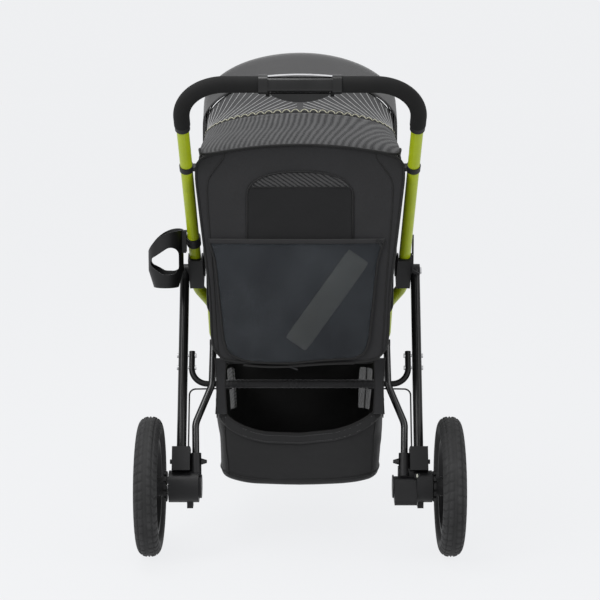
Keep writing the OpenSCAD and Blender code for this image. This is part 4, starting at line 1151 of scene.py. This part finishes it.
def make_basket():
    shell = grid_sheet("basket_shell", basket_point, 96, 32, 0.0022, basket_inside,
                       closed=True, skip=in_basket_window, inner=fabric_basket)
    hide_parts("basket")
    for k, (a, b) in enumerate(BASKET_WINDOWS):
        def net(u, v):
            return basket_point(a - 0.008 + (b - a + 0.016) * u, 0.085 + 0.35 * v)
        grid_sheet(f"basket_window_{k}", net, 14, 12, 0.0007, side_mesh)
    around = [basket_point(i / 120, 0.0) for i in range(120)]
    hem = [p + Vector((0, 0, -0.010)) for p in around]
    sweep("basket_hem", hem, flat_section(0.0040, 0.022), fabric_basket, "chassis", closed=True)
    piping("basket_rim_piping", [p + Vector((0, 0, 0.001)) for p in around], r=0.0030, closed=True)
    for drop, word in ((0.0035, "upper"), (0.0175, "lower")):
        row = []
        for p in around + around[:1]:
            out = Vector((p.x, p.y - 0.03, 0)).normalized()
            row.append(p + out * 0.0026 - Vector((0, 0, drop)))
        stitches(f"basket_hem_stitching_{word}", row, pale_thread, r=0.00028, side=(0, 0.9, 0.3))
    for k, u in enumerate((0.128, 0.372, 0.628, 0.872)):
        path = [basket_point(u, 0.03 + (BASKET_WALL - 0.03) * i / 24) for i in range(25)]
        mid = Vector((0, 0.03, 0))
        path = [p + Vector((p.x, p.y - mid.y, 0)).normalized() * 0.0016 for p in path]
        piping(f"basket_corner_piping_{k}", path, r=0.0018, side=(0, 1, 0))
    around_low = [basket_point(i / 110, BASKET_WALL - 0.02) for i in range(110)]
    around_low = [p + Vector((p.x, p.y - 0.03, -0.05)).normalized() * 0.0016 for p in around_low]
    piping("basket_bottom_piping", around_low, r=0.0018, closed=True)


fabric_basket = weave_look("basket_fabric", (0.0125, 0.0125, 0.013), 360, sheen=0.14)
basket_inside = weave_look("basket_lining", (0.008, 0.008, 0.008), 300, sheen=0.05)
SEAT_TUBE_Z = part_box("seat_frame")[0].z + 0.007


def make_basket_straps():
    """Webbing from the basket's rim up round the seat frame, each with a ladder buckle."""
    for word, side in SIDES.items():
        for k, y in enumerate((-0.190, -0.084, 0.250)):
            low_x, low_z = side * (BASKET_X - 0.0060), 0.300
            top_x = side * 0.1665
            points = [(low_x, y, low_z), (low_x, y, 0.335), (side * 0.1735, y, 0.390),
                      (top_x + side * 0.004, y, SEAT_TUBE_Z)]
            sweep(f"basket_strap_{word}_{k}", smooth_path(points, 6), flat_section(0.020, 0.0018), webbing,
                  "chassis", side=(side, 0, 0.05))
            buckle(f"basket_buckle_{word}_{k}", Vector((side * 0.1765, y, 0.352)), side)


def buckle(name, at, side):
    """A ladder-lock buckle: a rounded frame with two bars."""
    verts, faces = [], []
    for x0, x1, y0, y1, z0, z1 in ((-0.0015, 0.0022, -0.0135, -0.0105, -0.011, 0.011),
                                   (-0.0015, 0.0022, 0.0105, 0.0135, -0.011, 0.011),
                                   (-0.0015, 0.0022, -0.0105, 0.0105, 0.0082, 0.011),
                                   (-0.0015, 0.0022, -0.0105, 0.0105, -0.011, -0.0082),
                                   (-0.0005, 0.0030, -0.0105, 0.0105, -0.0018, 0.0018)):
        base = len(verts)
        for z in (z0, z1):
            verts += [at + Vector((side * x0, y0, z)), at + Vector((side * x1, y0, z)),
                      at + Vector((side * x1, y1, z)), at + Vector((side * x0, y1, z))]
        for f in ((0, 1, 2, 3), (7, 6, 5, 4), (0, 4, 5, 1), (1, 5, 6, 2), (2, 6, 7, 3), (3, 7, 4, 0)):
            faces.append(tuple(base + i for i in f))
    obj = piece(name, verts, faces, plastic, "chassis", smooth=False)
    bevelled(obj, 0.0006)


def make_side_columns():
    """Fabric columns facing the back, from the basket's corners up to the seat frame."""
    for word, side in SIDES.items():
        def column(u, v):
            pinch = 1 - 0.24 * math.sin(math.pi * v)
            x = 0.1700 + (0.023 * u - 0.0115) * pinch
            y = 0.265 + 0.018 * v + soft_noise((x, v * 0.3, side), 30, 0.0030)
            return Vector((side * x, y, 0.310 + 0.126 * v))
        grid_sheet(f"rear_column_{word}", column, 8, 14, 0.0024, fabric)
        for edge, u in (("outer", 1.0), ("inner", 0.0)):
            piping(f"rear_column_{word}_{edge}", [column(u, i / 14) for i in range(15)], r=0.0018)


def make_crossbar_sleeve():
    """The fabric sleeve on the rear crossbar, gathered in fine folds."""
    low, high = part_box("crossbar_sleeve")
    mid = (low + high) / 2
    r = (high.z - low.z) / 2

    def point(u, v):
        t = 2 * math.pi * u
        x = low.x + (high.x - low.x) * v
        end = min(1.0, min(v, 1 - v) * 30)
        fold = 0.0007 * math.sin(x * 620 + 2.6 * math.sin(t + x * 31)) * (0.5 + 0.5 * math.sin(x * 47 + 1))
        ring = r + 0.0001 + fold * end + soft_noise((x, math.sin(t), math.cos(t)), 24, 0.0005)
        return Vector((x, mid.y + ring * math.cos(t), mid.z + ring * math.sin(t)))
    skin = grid_sheet("crossbar_sleeve_fabric", point, 20, 200, 0.0010, sleeve_fabric, "rear_frame",
                      closed=True)
    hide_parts("crossbar_sleeve")
    seam = [point(0.12, i / 150) + Vector((0, 0.0006, 0.0005)) for i in range(151)]
    piping("crossbar_sleeve_seam", seam, "rear_frame", r=0.0007)


sleeve_fabric = weave_look("sleeve_fabric", (0.014, 0.014, 0.015), 500, rough=0.55, sheen=0.25)

# ---------------------------------------------------------------- wheels


def make_tyre(node, body, blocks, lean):
    """An air tyre: a rounded casing with rim beads, side ribs, grooves and staggered tread blocks."""
    low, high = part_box(node)
    mid = (low + high) / 2
    half = (high.x - low.x) / 2
    outer = (high.z - low.z) / 2
    height = TYRE_HEIGHT[node]
    per_block = 8
    around = blocks * per_block
    ring = 64
    verts = []
    for i in range(around):
        t = 2 * math.pi * i / around
        for j in range(ring):
            phi = 2 * math.pi * j / ring
            s, c = math.sin(phi), math.cos(phi)
            x = half * math.copysign(abs(c) ** 0.86, c)
            r = outer - height / 2 + height / 2 * math.copysign(abs(s) ** 0.92, s)
            if s < -0.55:
                x *= 0.80
            across = x / half
            if s > 0.18:
                phase = (i / per_block + (0.5 if across > 0 else 0.0) + lean * abs(across)) % 1.0
                lateral = 1.0 if phase < 0.24 and abs(across) > 0.14 else 0.0
                band = 1.0 if 0.12 < abs(across) < 0.24 or 0.56 < abs(across) < 0.65 else 0.0
                depth = 0.0034 * max(lateral * (0.9 if abs(across) > 0.6 else 0.7), band)
                r -= depth * s
                x -= math.copysign(depth * abs(c) * 0.8, c)
            elif abs(c) > 0.80:
                rib = 0.0011 * (1 if (j % 3) == 0 else 0)
                x -= math.copysign(rib, c)
            verts.append(mid + Vector((x, r * math.cos(t), r * math.sin(t))))
    faces = []
    for i in range(around):
        m = (i + 1) % around
        for j in range(ring):
            q = (j + 1) % ring
            faces.append((i * ring + j, m * ring + j, m * ring + q, i * ring + q))
    obj = facing_out(piece(node + "_rubber", verts, faces, rubber, body))
    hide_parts(node)


TYRE_HEIGHT = {"rear_tyre_left": 0.046, "rear_tyre_right": 0.046, "front_tyre": 0.038}


def make_hub_painted_highlight():
    """A small pale sliver on the block of the right hub: a painted highlight where light glints on the black
    plastic.
    """
    centre, half = Vector((-0.2528, 0.2972, 0.1805)), Vector((0.0019, 0.0012, 0.0046))
    turns, rings = 24, 14

    def at(ring, turn):
        fall, round_ = math.pi * ring / rings, 2 * math.pi * turn / turns
        return centre + half * Vector((math.sin(fall) * math.cos(round_),
                                       math.sin(fall) * math.sin(round_), math.cos(fall)))
    verts = [at(0, 0), at(rings, 0)] + [at(m, k) for m in range(1, rings) for k in range(turns)]
    faces = []
    for k in range(turns):
        here, after = 2 + k, 2 + (k + 1) % turns
        faces.append((0, here, after))
        faces += [(here + turns * m, here + turns * (m + 1), after + turns * (m + 1), after + turns * m)
                  for m in range(rings - 2)]
        faces.append((here + turns * (rings - 2), 1, after + turns * (rings - 2)))
    piece("hub_painted_highlight", verts, faces, hub_highlight_paint, "rear_frame")


# painted highlight: a pale colour for the glint on the right hub's block
hub_highlight_paint = plastic_look("hub_highlight_paint", (0.50, 0.51, 0.44), 0.3, bump=0.05)

make_canopy()
make_basket()
make_basket_straps()
# painted highlight on the right hub's block
make_hub_painted_highlight()
make_side_columns()
make_crossbar_sleeve()
make_tyre("rear_tyre_left", "rear_wheel_left", 48, 0.5)
make_tyre("rear_tyre_right", "rear_wheel_right", 48, 0.5)
make_tyre("front_tyre", "front_wheel", 40, 0.5)
